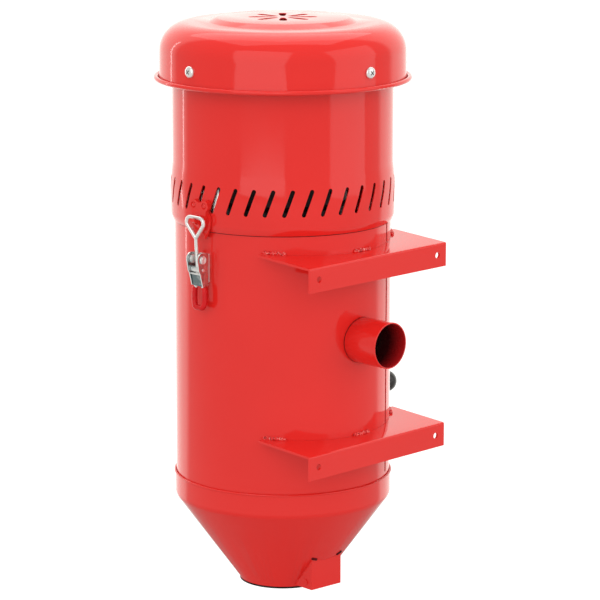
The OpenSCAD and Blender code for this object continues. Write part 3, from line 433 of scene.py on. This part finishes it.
def soften(name, node, width):
    """A copy of a CAD node whose sharp edges are rounded as sheet and bar edges are."""
    mesh = bpy.data.meshes.new(name)
    bm = bmesh.new()
    bm.from_mesh(frame["nodes"][node].data)
    bmesh.ops.remove_doubles(bm, verts=bm.verts, dist=SAME_CORNER)
    bmesh.ops.dissolve_limit(bm, angle_limit=SAME_FLAT, verts=bm.verts, edges=bm.edges)
    for face in bm.faces:
        face.smooth = True
    bm.to_mesh(mesh)
    bm.free()
    if "custom_normal" in mesh.attributes:
        mesh.attributes.remove(mesh.attributes["custom_normal"])
    slot = SUBPARTS[node]["material_slot"]
    piece = link_piece(name, mesh, SLOT_MATERIALS[slot], slot, NODE_BODY[node], node)
    round_edges(piece, width)


def evenly(low, high, count):
    """The ends of count equal steps from low to high."""
    return [low + (high - low) * i / count for i in range(count + 1)]


def full_turn(count):
    return evenly(0, 2 * math.pi, count)


def rounded_path(points, radius, steps=6):
    """Straight runs with rounded corners, as a bent wire has."""
    path = [points[0]]
    for a, b, c in zip(points, points[1:], points[2:]):
        reach = min(radius, (a - b).length * 0.45, (c - b).length * 0.45)
        start, stop = b + (a - b).normalized() * reach, b + (c - b).normalized() * reach
        for t in evenly(0, 1, steps):
            path.append(start * (1 - t) ** 2 + b * 2 * t * (1 - t) + stop * t * t)
    path.append(points[-1])
    return path


def ring_into(bm, center, across, other, r, sides):
    """A circle of vertices in the plane of two directions."""
    return [bm.verts.new(center + (across * math.cos(a) + other * math.sin(a)) * r)
            for a in full_turn(sides)[:-1]]


def bridge(bm, low, high):
    """Faces between two rings of vertices; a ring of one vertex closes to a point."""
    sides = max(len(low), len(high))
    for k in range(sides):
        n = (k + 1) % sides
        if len(low) == 1:
            bm.faces.new((low[0], high[n], high[k]))
        elif len(high) == 1:
            bm.faces.new((low[k], low[n], high[0]))
        else:
            bm.faces.new((low[k], low[n], high[n], high[k]))


def tube_into(bm, path, radius, sides=20):
    """A swept tube with rounded ends; radius is one length, or a list with one for each point."""
    radii = radius if isinstance(radius, list) else [radius] * len(path)
    last = len(path) - 1
    across = (path[1] - path[0]).normalized().orthogonal().normalized()
    rings = []
    for i, (center, r) in enumerate(zip(path, radii)):
        tangent = (path[min(i + 1, last)] - path[max(i - 1, 0)]).normalized()
        across = (across - tangent * across.dot(tangent)).normalized()
        other = tangent.cross(across)
        before = [(-1, s) for s in CAP_STEPS] if i == 0 else []
        after = [(1, s) for s in reversed(CAP_STEPS)] if i == last else []
        for way, s in before + [(0, 1)] + after:
            place = center + tangent * (way * r) * CAP_DEPTH * (1 - s)
            rings.append(ring_into(bm, place, across, other, r * math.sin(s * math.pi / 2), sides))
    for low, high in zip(rings, rings[1:]):
        bridge(bm, low, high)
    bm.faces.new(list(reversed(rings[0])))
    bm.faces.new(rings[-1])


def lathe_into(bm, profile, place, axis, sides=48):
    """Turns [along, radius] points about an axis; radius 0 closes an end."""
    across = axis.orthogonal().normalized()
    other = axis.cross(across)
    rings = []
    for along, r in profile:
        center = place + axis * along
        rings.append(ring_into(bm, center, across, other, r, sides) if r else [bm.verts.new(center)])
    for low, high in zip(rings, rings[1:]):
        bridge(bm, low, high)


def finished_mesh(name, bm, sharp=35):
    """The same as faced_mesh for a closed shape, whose faces are turned outwards first."""
    bmesh.ops.recalc_face_normals(bm, faces=bm.faces)
    return faced_mesh(name, bm, sharp)


def faced_mesh(name, bm, sharp):
    """Smooth faces with creases at edges of more than sharp degrees; the faces keep their sides."""
    for face in bm.faces:
        face.smooth = True
    for edge in bm.edges:
        if len(edge.link_faces) == 2 and edge.calc_face_angle() > math.radians(sharp):
            edge.smooth = False
    mesh = bpy.data.meshes.new(name)
    bm.to_mesh(mesh)
    bm.free()
    return mesh


# ---------------------------------------------------------------- sheet metal pieces

# Lengths from here to the latches' end are in millimetres, in the frame of the part's source.
DRUM_R = 119.5

# How far each node's edges are rounded.
ROUNDED = {
    "upper_bracket": 0.55, "lower_bracket": 0.55, "hinge_bracket": 0.4, "cover_screws": 0.3,
    "hopper_cone": 0.25, "head_shell": 0.25, "top_cover": 0.25,
    "left_latch_base": 0.35, "right_latch_base": 0.35, "left_keeper": 0.5, "right_keeper": 0.5,
}

INLET_Z = 296.5
INLET_R = 25.4
BORE_R = 23.9
NECK_R = 24.3
MOUTH_Y = -162.0
NECK_END_Y = -107.5
INLET_SIDES = 96
INLET_CREASE = 50

INNER_WELD_R = NECK_R + 1.6
INNER_WELD_DEPTH = 2.2
INNER_WELD_RIPPLES = 56
# The ring of painted shade where the pipe meets the drum: its radius and how far it stands off the wall.
SHADE_RING_R = 25.0
SHADE_RING_STAND = 0.5

SEAM_TURN = 26
SEAM_STEP = 4
SEAM_RUNS = ((136.2, 188.9), (192.8, 392.8), (396.8, 416.4))
# Sections of the lap and of the strip of painted shade beside it: [aside, up] points over the drum's wall.
LAP_SECTION = [(0.45, -0.05), (0.5, 0.45), (0.8, 0.6), (3.0, 0.5), (4.6, 0.2), (5.2, -0.05)]
SHADE_LINE_SECTION = [(-0.5, 0.02), (-0.35, 0.12), (0.46, 0.14), (0.5, 0.02)]

# The ring of painted shade under the head's edge.
HEAD_SHADE_R = DRUM_R + 0.25
HEAD_SHADE_Z = 417.05

# The angle over which an edge of a thin bead or filler is a crease.
BEAD_CREASE = 60


def add_rounded_pieces():
    for node, width in ROUNDED.items():
        soften(node + "_rounded", node, width * MM)


def square_cut(y):
    """The Y of a ring of the inlet that is cut square."""
    return lambda x: y


def drum_wall(off):
    """The Y of a ring of the inlet that follows the drum's wall, set off outwards."""
    return lambda x: -math.sqrt((DRUM_R + off) ** 2 - x * x)


def mouth(off):
    """The Y of a ring near the inlet's mouth, set in from it."""
    return square_cut(MOUTH_Y + off)


def inlet_point(r, turn, along):
    x = r * math.cos(turn)
    return Vector((x, along(x), INLET_Z + r * math.sin(turn))) * MM


def add_inlet():
    """The pipe ends just short of the drum, on a neck that goes in and is welded inside."""
    skin = [
        (BORE_R + 0.35, mouth(0.02)), (INLET_R - 0.5, mouth(0)), (INLET_R - 0.15, mouth(0.15)),
        (INLET_R, mouth(0.5)), (INLET_R, mouth(1.2)), (INLET_R, square_cut(-140.0)),
        (INLET_R, drum_wall(1.1)), (INLET_R - 0.2, drum_wall(0.85)),
        (NECK_R, drum_wall(0.8)), (NECK_R, drum_wall(0.2)), (NECK_R, drum_wall(-2.0)),
        (NECK_R, square_cut(NECK_END_Y)),
    ]
    lining = [
        (NECK_R, square_cut(NECK_END_Y)), (BORE_R, square_cut(NECK_END_Y)), (BORE_R, square_cut(-130.0)),
        (BORE_R, mouth(1.0)), (BORE_R, mouth(0.35)), (BORE_R + 0.12, mouth(0.1)),
        (BORE_R + 0.35, mouth(0.02)),
    ]
    for name, profile, material, nodes in (
        ("inlet_pipe_skin", skin, PAINT, ["inlet_pipe"]), ("inlet_pipe_bore", lining, BORE, []),
    ):
        bm = bmesh.new()
        rings = [[bm.verts.new(inlet_point(r, turn, along)) for turn in full_turn(INLET_SIDES)[:-1]]
                 for r, along in profile]
        for low, high in zip(rings, rings[1:]):
            for k in range(INLET_SIDES):
                n = (k + 1) % INLET_SIDES
                bm.faces.new((low[k], high[k], high[n], low[n]))
        link_piece(name, faced_mesh(name, bm, INLET_CREASE), material, "red_paint", ROOT, *nodes)

    bm = bmesh.new()
    path = [inlet_point(INNER_WELD_R, turn, drum_wall(-INNER_WELD_DEPTH)) for turn in full_turn(240)]
    ripples = [(1.0 + 0.25 * abs(math.sin(math.pi * INNER_WELD_RIPPLES * t))) * MM for t in evenly(0, 1, 240)]
    tube_into(bm, path, ripples, 10)
    mesh = finished_mesh("inlet_pipe_weld", bm, BEAD_CREASE)
    link_piece("inlet_pipe_weld", mesh, WELD, "red_paint", ROOT)


def seam_into(bm, heights, section):
    """A strip up the drum's wall."""
    rows = []
    for z in heights:
        row = []
        for side, up in section:
            a = math.radians(SEAM_TURN) + side / DRUM_R
            r = DRUM_R + up
            row.append(bm.verts.new(Vector((r * math.sin(a), -r * math.cos(a), z)) * MM))
        rows.append(row)
    for low, high in zip(rows, rows[1:]):
        for k in range(len(section) - 1):
            bm.faces.new((low[k], low[k + 1], high[k + 1], high[k]))


def add_seams():
    """The drum's lap seam between the brackets: a thin raised lap and, beside it, a dark strip of painted
    shade for the gap at its cut edge.
    """
    for name, section, material in (
        ("drum_seam", LAP_SECTION, PAINT), ("drum_seam_shade_line", SHADE_LINE_SECTION, PAINTED_SHADE),
    ):
        bm = bmesh.new()
        for low, high in SEAM_RUNS:
            seam_into(bm, evenly(low, high, max(2, int((high - low) / SEAM_STEP))), section)
        link_piece(name, faced_mesh(name, bm, 40), material, "red_paint", ROOT)


def add_shade_lines():
    """Dark rings of painted shade under the head's edge, and where the pipe meets the drum."""
    head = [Vector((HEAD_SHADE_R * math.cos(a), HEAD_SHADE_R * math.sin(a), HEAD_SHADE_Z)) * MM
            for a in full_turn(180)]
    inlet = [inlet_point(SHADE_RING_R, turn, drum_wall(SHADE_RING_STAND)) for turn in full_turn(180)]
    for name, path, radius in (("head_edge_shade_line", head, 0.4), ("inlet_pipe_shade_line", inlet, 0.45)):
        bm = bmesh.new()
        tube_into(bm, path, radius * MM, 8)
        link_piece(name, finished_mesh(name, bm, BEAD_CREASE), PAINTED_SHADE, "red_paint", ROOT)


# ---------------------------------------------------------------- cover screws

SCREW_ANGLES = (-2.5, 87.5, 177.5, 267.5)
SCREW_Z = 590.3
SCREW_FLOOR_R = 137.0
CROSS_ARM = 2.9
CROSS_HALF = 0.55
# The crosses stand at 45 degrees.
CROSS_TURN = 0.7071
# How far each ring of a cross stands off the floor, and its share of the cross.
CROSS_RINGS = ((0.05, 0.97), (0.35, 0.97), (0.55, 0.8))


def add_screw_recesses():
    """A near-black cross of painted shade on the floor of the cross in each cover screw, bevelled to its four
    arms.
    """
    bm = bmesh.new()
    arm, half = CROSS_ARM, CROSS_HALF
    outline = [(arm, -half), (arm, half), (half, half), (half, arm), (-half, arm), (-half, half),
               (-arm, half), (-arm, -half), (-half, -half), (-half, -arm), (half, -arm), (half, -half)]
    for angle in SCREW_ANGLES:
        turn = math.radians(angle)
        out = Vector((math.cos(turn), math.sin(turn), 0))
        side = Vector((-math.sin(turn), math.cos(turn), 0))
        rows = []
        for depth, scale in CROSS_RINGS:
            row = []
            for a, b in outline:
                a, b = (a - b) * CROSS_TURN * scale, (a + b) * CROSS_TURN * scale
                place = out * (SCREW_FLOOR_R + depth) + side * a + Vector((0, 0, SCREW_Z + b))
                row.append(bm.verts.new(place * MM))
            rows.append(row)
        for low, high in zip(rows, rows[1:]):
            bridge(bm, low, high)
        bm.faces.new(rows[-1])
    link_piece("cover_screw_recesses", finished_mesh("cover_screw_recesses", bm, 20), RECESS_SHADE, "zinc", ROOT)


# ---------------------------------------------------------------- weld beads

# The height of each bracket's plate at its fold, and how steeply it rises to the drum.
BRACKET_TOPS = {"lower_bracket": 189.5, "upper_bracket": 393.5}
PLATE_SLOPE = math.atan(5 / 77.5)
MOUNT_Y = -145.5
# Each plate's three beads: their middles and half their span in degrees, and ripples in each.
WELD_MIDDLES = (-50, 0, 50)
WELD_HALF = 6
WELD_RIPPLES = 16
# Where a bead's middle line lies, out from the drum's wall and up from the plate.
WELD_OUT = 0.9
WELD_UP = 0.8

# The cone's wall as [radius, height], and the hinge bracket's front that meets it.
CONE_LOW = (49.0, 7.4)
CONE_HIGH = (120.8, 106.0)
HINGE_TURN = math.radians(-4)
HINGE_FRONT = 73.3
HINGE_WELD_START = 14.5
HINGE_WELD_LENGTH = 8.0
HINGE_WELD_RIPPLES = 5


def cone_height(r):
    return CONE_LOW[1] + (r - CONE_LOW[0]) * (CONE_HIGH[1] - CONE_LOW[1]) / (CONE_HIGH[0] - CONE_LOW[0])


def on_plate(x, y, up, top_z):
    """A point over a bracket plate, which leans about its fold."""
    back = y - MOUNT_Y
    return Vector((x, MOUNT_Y + back * math.cos(PLATE_SLOPE) - up * math.sin(PLATE_SLOPE),
                   top_z + back * math.sin(PLATE_SLOPE) + up * math.cos(PLATE_SLOPE))) * MM


def thin_ends(t, slope, low):
    """A bead's share of its full thickness, which starts at low and grows from both ends."""
    return min(1.0, slope * t + low, slope * (1 - t) + low)


def add_hinge_welds():
    """A bead on each upper corner of the hinge bracket, where it meets the cone, coloured near black as
    painted shade.
    """
    bm = bmesh.new()
    for way in (-1, 1):
        path, sizes = [], []
        for t in evenly(0, 1, 32):
            x, y = way * (HINGE_WELD_START + HINGE_WELD_LENGTH * t), -HINGE_FRONT
            path.append(Vector((x * math.cos(HINGE_TURN) - y * math.sin(HINGE_TURN),
                                x * math.sin(HINGE_TURN) + y * math.cos(HINGE_TURN),
                                cone_height(math.hypot(x, y)))) * MM)
            ripple = abs(math.sin(math.pi * HINGE_WELD_RIPPLES * t))
            sizes.append((1.3 + 0.4 * ripple) * thin_ends(t, 5, 0.4) * MM)
        tube_into(bm, path, sizes, 12)
    mesh = finished_mesh("hinge_bracket_shaded_weld", bm, BEAD_CREASE)
    link_piece("hinge_bracket_shaded_weld", mesh, PAINTED_SHADE, "red_paint", ROOT)


def add_bracket_welds():
    """Short beads of overlapping ripples in the corner between each plate and the drum."""
    for bracket, top_z in BRACKET_TOPS.items():
        bm = bmesh.new()
        for middle in WELD_MIDDLES:
            path, sizes = [], []
            for t in evenly(0, 1, WELD_RIPPLES * 4):
                turn = math.radians(middle - WELD_HALF + 2 * WELD_HALF * t)
                ripple = abs(math.sin(math.pi * WELD_RIPPLES * t + 0.6 * math.sin(9 * t + middle)))
                r = (1.9 + 0.6 * ripple + 0.25 * math.sin(23 * t + middle)) * thin_ends(t, 6, 0.45)
                place = DRUM_R + WELD_OUT
                path.append(on_plate(place * math.sin(turn), -place * math.cos(turn), WELD_UP, top_z))
                sizes.append(r * MM)
            tube_into(bm, path, sizes, 14)
        name = bracket + "_weld"
        link_piece(name, finished_mesh(name, bm, BEAD_CREASE), WELD, "red_paint", ROOT)


# ---------------------------------------------------------------- toggle latches

# The right latch as [x, z], from the lever's pivot to the bail's bar in the keeper.
PIVOT = (132.5, 388.0)
BARREL = (131.7, 376.8)
BAR = (134.8, 434.0)
# The left latch is the same, turned half round the drum's axis.
LATCH_SIDES = (("left", -1), ("right", 1))

# The bail's triangle: the stem's top, half the bar, the wire's radius and the bend at each corner.
APEX_Z = 411.0
BAR_HALF = 12.9
BAIL_WIRE_R = 2.1
BAIL_BEND = 2.2
STEM_R = 2.02
THREAD_TOP_Z = 402.0
THREAD_LOW_Z = BARREL[1] - 3.8
THREAD_R = 1.93
THREAD_DEPTH = 0.07
THREAD_TURNS = 34
THREAD_RINGS = 140

# The grip: where the vinyl begins, and the wire's legs inside the lever and below it.
GRIP_X = 128.5
GRIP_TOP_Z = 370.5
VINYL_TOP_Z = 358.5
FOOT_Z = VINYL_TOP_Z - 24
LEG_INNER = 5.1
LEG_OUTER = 7.7
GRIP_WIRE_R = 2.2
VINYL_R = 3.2

# The lever: its two cheeks and the web between them, which stands a little behind their edges.
NOSE_R = 7.4
LEVER_BACK = 124.0
LEVER_FRONT = LEVER_BACK + 8.6
LEVER_LOW = PIVOT[1] - 29.5
WEB_TOP = PIVOT[1] - 15.5
WEB_INSET = 1.1
WEB_HALF = 7.6
CHEEK_INNER = 7.5
CHEEK = 1.5
LIP_R = 1.15
LEVER_EDGE = 0.3

# A pivot's profile from its inner end to its head: [along, radius].
PIVOT_PROFILE = [
    (4.7, 0), (4.7, 3.2), (4.9, 3.7), (5.7, 3.7), (5.7, 2.5), (9.3, 2.5), (9.3, 4.3), (9.45, 4.5),
    (9.9, 4.5), (10.25, 4.2), (10.35, 3.7), (10.15, 3.35), (10.1, 3.0), (10.35, 2.7), (10.5, 2.1),
    (10.45, 1.5), (10.1, 1.2), (10.05, 0),
]


def sided(points, turn):
    """Points of the right latch as vectors in metres, turned half round for the left one."""
    return [Vector((x * turn, y * turn, z)) * MM for x, y, z in points]


def stem_point(z):
    return BARREL[0] + (z - BARREL[1]) * (BAR[0] - BARREL[0]) / (BAR[1] - BARREL[1]), 0, z


def add_bail(side, turn):
    """The wire loop with round corners, and its stem with a rolled thread below."""
    bm = bmesh.new()
    tip = stem_point(APEX_Z)
    corner = [(BAR_HALF, -7.5), (BAR_HALF - 0.7, -2.6), (BAR_HALF - 3.4, -0.5), (BAR_HALF - 6.2, 0)]
    path = [tip] + [(BAR[0], y, BAR[1] + dz) for y, dz in corner]
    path += [(BAR[0], -y, BAR[1] + dz) for y, dz in reversed(corner)] + [tip]
    tube_into(bm, rounded_path(sided(path, turn), BAIL_BEND * MM), BAIL_WIRE_R * MM)
    stem = [stem_point(z) for z in evenly(APEX_Z + 0.8, THREAD_TOP_Z, 9)]
    tube_into(bm, sided(stem, turn), STEM_R * MM)
    thread = [stem_point(z) for z in evenly(THREAD_LOW_Z, THREAD_TOP_Z, THREAD_RINGS)]
    tube_into(bm, sided(thread, turn), [
        (THREAD_R + THREAD_DEPTH * math.cos(2 * math.pi * t * THREAD_TURNS)) * MM
        for t in evenly(0, 1, THREAD_RINGS)
    ])
    name = side + "_bail"
    link_piece(name + "_wire", finished_mesh(name + "_wire", bm), ZINC, "zinc", NODE_BODY[name], name)


def add_grip(side, turn):
    """Bare wire legs inside the lever, dipped vinyl below it with a thicker foot."""
    wires, dips = bmesh.new(), bmesh.new()
    for way in (1, -1):
        bare = [(GRIP_X, way * LEG_INNER, GRIP_TOP_Z), (GRIP_X, way * LEG_INNER, VINYL_TOP_Z - 0.5),
                (GRIP_X, way * LEG_OUTER, VINYL_TOP_Z - 5)]
        tube_into(wires, rounded_path(sided(bare, turn), 2.5 * MM), GRIP_WIRE_R * MM)
    leg = [
        (GRIP_X, LEG_INNER + 0.9, VINYL_TOP_Z - 1.9), (GRIP_X, LEG_OUTER, VINYL_TOP_Z - 4.6),
        (GRIP_X + 0.3, LEG_OUTER, FOOT_Z + 5), (GRIP_X + 1.2, LEG_OUTER - 2.4, FOOT_Z),
        (GRIP_X + 1.2, 0, FOOT_Z),
    ]
    whole = leg + [(x, -y, z) for x, y, z in reversed(leg[:-1])]
    path = rounded_path(sided(whole, turn), 3 * MM)
    radii = [(VINYL_R - 0.45 * max(0, 1 - 14 * min(t, 1 - t))) * MM for t in evenly(0, 1, len(path) - 1)]
    tube_into(dips, path, radii, 24)
    name = side + "_grip"
    body = NODE_BODY[name]
    link_piece(name + "_wire", finished_mesh(name + "_wire", wires), ZINC, "zinc", body)
    link_piece(name + "_vinyl", finished_mesh(name + "_vinyl", dips), VINYL, "red_vinyl", body, name)


def slab_into(bm, outline, y0, y1, turn):
    """A flat plate in the X-Z plane from one Y to another."""
    near = [bm.verts.new(p) for p in sided([(x, y0, z) for x, z in outline], turn)]
    far = [bm.verts.new(p) for p in sided([(x, y1, z) for x, z in outline], turn)]
    bm.faces.new(near)
    bm.faces.new(list(reversed(far)))
    for k in range(len(outline)):
        n = (k + 1) % len(outline)
        bm.faces.new((near[n], near[k], far[k], far[n]))


def dress_lever_faces(mesh):
    """Painted shade on the faces inside the lever as a dark zinc; a darker, streaked zinc on its flanks."""
    mesh.materials.append(SHADED_ZINC)
    mesh.materials.append(FLANK_ZINC)
    for face in mesh.polygons:
        sideways, y = abs(face.normal.y), face.center.y
        inner_cheek = face.normal.y * y < 0 and abs(y) > 7 * MM
        web_face = sideways < 0.3 and abs(y) < 3 * MM and face.center.z < (WEB_TOP - 2) * MM
        # Faces inside the lever and the web's front get the painted shade.
        if inner_cheek or web_face:
            face.material_index = 1
        elif sideways > 0.9:
            face.material_index = 2


def add_lever(side, turn):
    """Two round-nosed cheeks, a web set a little behind their edges and a rolled lip on the web."""
    x, z = PIVOT
    low, back, front, inner = LEVER_LOW, LEVER_BACK, LEVER_FRONT, LEVER_FRONT - WEB_INSET
    nose = [(x + NOSE_R * math.cos(a), z + NOSE_R * math.sin(a))
            for a in map(math.radians, evenly(-20, 110, 18))]
    cheek = nose + [
        (back + 2, z + 7), (back + 0.6, z + 6.3), (back, z + 5), (back, low + 1.5), (back + 0.5, low + 0.4),
        (back + 1.6, low), (front - 1.4, low), (front - 0.4, low + 0.4), (front, low + 1.6),
        (front + 3.3, WEB_TOP), (x + 5.4, WEB_TOP + 3.5), (x + 6.3, z - 6.5),
    ]
    web = [(inner - 1.2, low), (inner, low), (inner + 2.9, WEB_TOP), (inner + 1.7, WEB_TOP)]
    bm = bmesh.new()
    for y0 in (-CHEEK_INNER - CHEEK, CHEEK_INNER):
        slab_into(bm, cheek, y0, y0 + CHEEK, turn)
    slab_into(bm, web, -WEB_HALF, WEB_HALF, turn)
    bmesh.ops.recalc_face_normals(bm, faces=bm.faces)
    lip = [(inner + 2.7, y, WEB_TOP - 0.3) for y in (-7.5, -2.5, 2.5, 7.5)]
    tube_into(bm, sided(lip, turn), LIP_R * MM, 16)
    name = side + "_lever"
    mesh = finished_mesh(name + "_folded", bm, 30)
    piece = link_piece(name + "_folded", mesh, ZINC, "zinc", NODE_BODY[name], name)
    dress_lever_faces(mesh)
    round_edges(piece, LEVER_EDGE * MM)


def add_pivots(side, turn):
    """Flanged rivets with turned rings on their heads."""
    bm = bmesh.new()
    place = Vector((turn * PIVOT[0] * MM, 0, PIVOT[1] * MM))
    for way in (1, -1):
        lathe_into(bm, [(a * MM, r * MM) for a, r in PIVOT_PROFILE], place, Vector((0, way, 0)))
    name = side + "_pivots"
    link_piece(name + "_turned", finished_mesh(name + "_turned", bm), ZINC, "zinc", NODE_BODY[name], name)


def add_latches():
    for side, turn in LATCH_SIDES:
        add_bail(side, turn)
        add_grip(side, turn)
        add_lever(side, turn)
        add_pivots(side, turn)


# ---------------------------------------------------------------- stage and light

# The unit hangs from its brackets, so the floor leaves room for the open flap.
FLOOR_Z = -0.095
FLOOR_HALF = 9.0
FLOOR_GREY = 0.36
FLOOR_ROUGHNESS = 0.9

# Strengths of the world and of the floor: as the camera sees them, and as they light the rest.
WORLD_SEEN, WORLD_LIGHT = 1.0, 0.85
FLOOR_SEEN, FLOOR_LIGHT = 0.8, 0.3
WALL_WHITE = (1.0, 0.975, 0.92, 1)

# What reflections show of the studio, by the level direction: calm on the camera's side, bright to
# both sides behind the object, and brightest straight behind it. An edge is a pair of cosines.
BEHIND_DIRECTION = (0.7153, 0.6988, 0.0)
CAMERA_SIDE = 0.55
SIDES = 1.35
BEHIND = 1.5
SIDES_EDGE = (0.40, 0.56)
BEHIND_EDGE = (0.88, 0.985)
# The floor is darker than the walls in reflections, and fades out towards the object, in metres.
FLOOR_GLOSS_DROP = 0.30
FLOOR_FADE = (0.25, 0.75)

# Area lamps: name, place, the point it faces, size and watts.
MIDDLE = (0, 0, 0.32)
LAMPS = (
    ("key", (-3.2, -1.4, 1.8), MIDDLE, (3.4, 3.4), 34),
    ("fill", (1.6, -3.4, 1.6), MIDDLE, (3.4, 3.4), 28),
    ("top", (0.5, 0.6, 3.2), MIDDLE, (3.4, 3.4), 34),
    ("strip", (-0.48, 2.45, 0.4), (0, 0, 0.4), (0.07, 2.6), 2.4),
)


def by_ray(tree, seen_by_camera, seen_in_gloss, plain, target):
    """Sets target for camera rays, for glossy and transmission rays, which get a socket, and for the rest."""
    path = tree.nodes.new("ShaderNodeLightPath")
    gloss = combine(tree, "MAXIMUM", path.outputs["Is Glossy Ray"], path.outputs["Is Transmission Ray"])
    inner = tree.nodes.new("ShaderNodeMix")
    tree.links.new(gloss, inner.inputs[MIX_FACTOR])
    inner.inputs[NUMBER_A].default_value = plain
    tree.links.new(seen_in_gloss, inner.inputs[NUMBER_B])
    outer = tree.nodes.new("ShaderNodeMix")
    tree.links.new(path.outputs["Is Camera Ray"], outer.inputs[MIX_FACTOR])
    tree.links.new(inner.outputs[NUMBER_OUT], outer.inputs[NUMBER_A])
    outer.inputs[NUMBER_B].default_value = seen_by_camera
    tree.links.new(outer.outputs[NUMBER_OUT], target)


def warm_glow(tree, target):
    """White for the camera, and the warm white of the studio's walls for every other ray."""
    mix = tree.nodes.new("ShaderNodeMix")
    mix.data_type = "RGBA"
    mix.inputs[COLOR_A].default_value = WALL_WHITE
    mix.inputs[COLOR_B].default_value = (1, 1, 1, 1)
    path = tree.nodes.new("ShaderNodeLightPath")
    tree.links.new(path.outputs["Is Camera Ray"], mix.inputs[MIX_FACTOR])
    tree.links.new(mix.outputs[COLOR_OUT], target)


def studio_gloss(tree, place, drop=0.0):
    """The studio's brightness in reflections, by the level direction of a vector."""
    level = vector_step(tree, "MULTIPLY", place, (1, 1, 0))["Vector"]
    unit = vector_step(tree, "NORMALIZE", level)["Vector"]
    cosine = vector_step(tree, "DOT_PRODUCT", unit, BEHIND_DIRECTION)["Value"]
    sides = map_range(tree, cosine, *SIDES_EDGE, CAMERA_SIDE - drop, SIDES - drop, "SMOOTHSTEP")
    behind = map_range(tree, cosine, *BEHIND_EDGE, 0.0, BEHIND - SIDES, "SMOOTHSTEP")
    return combine(tree, "ADD", sides, behind)


def add_world():
    world = bpy.data.worlds.new("studio")
    world.use_nodes = True
    tree = world.node_tree
    background = tree.nodes["Background"]
    warm_glow(tree, background.inputs["Color"])
    direction = tree.nodes.new("ShaderNodeTexCoord").outputs["Generated"]
    by_ray(tree, WORLD_SEEN, studio_gloss(tree, direction), WORLD_LIGHT, background.inputs["Strength"])
    scene.world = world


def add_floor():
    floor = bpy.data.objects.new("floor", bpy.data.meshes.new("floor"))
    corners = [(x * FLOOR_HALF, y * FLOOR_HALF, FLOOR_Z) for x, y in ((-1, -1), (1, -1), (1, 1), (-1, 1))]
    floor.data.from_pydata(corners, [], [(0, 1, 2, 3)])
    material = bpy.data.materials.new("pale_floor")
    material.use_nodes = True
    tree = material.node_tree
    shader = tree.nodes["Principled BSDF"]
    shader.inputs["Base Color"].default_value = (FLOOR_GREY, FLOOR_GREY, FLOOR_GREY, 1)
    shader.inputs["Roughness"].default_value = FLOOR_ROUGHNESS
    shader.inputs["Specular IOR Level"].default_value = 0.0
    warm_glow(tree, shader.inputs["Emission Color"])
    position = tree.nodes.new("ShaderNodeTexCoord").outputs["Object"]
    reach = vector_step(tree, "LENGTH", position)["Value"]
    fade = map_range(tree, reach, *FLOOR_FADE, 0.0, 1.0, "SMOOTHSTEP")
    glow = combine(tree, "MULTIPLY", studio_gloss(tree, position, FLOOR_GLOSS_DROP), fade)
    by_ray(tree, FLOOR_SEEN, glow, FLOOR_LIGHT, shader.inputs["Emission Strength"])
    floor.data.materials.append(material)
    scene.collection.objects.link(floor)


def add_lamps():
    for name, place, target, size, power in LAMPS:
        data = bpy.data.lights.new(name, "AREA")
        data.shape = "RECTANGLE"
        data.size, data.size_y = size
        data.energy = power
        lamp = bpy.data.objects.new(name, data)
        lamp.location = place
        aim(lamp, Vector(target) - Vector(place))
        scene.collection.objects.link(lamp)


# ---------------------------------------------------------------- scene

add_camera()
dress_nodes()
add_rounded_pieces()
add_inlet()
add_seams()
add_shade_lines()
add_screw_recesses()
add_hinge_welds()
add_bracket_welds()
add_latches()
add_world()
add_floor()
add_lamps()
scene.view_settings.view_transform = "Standard"
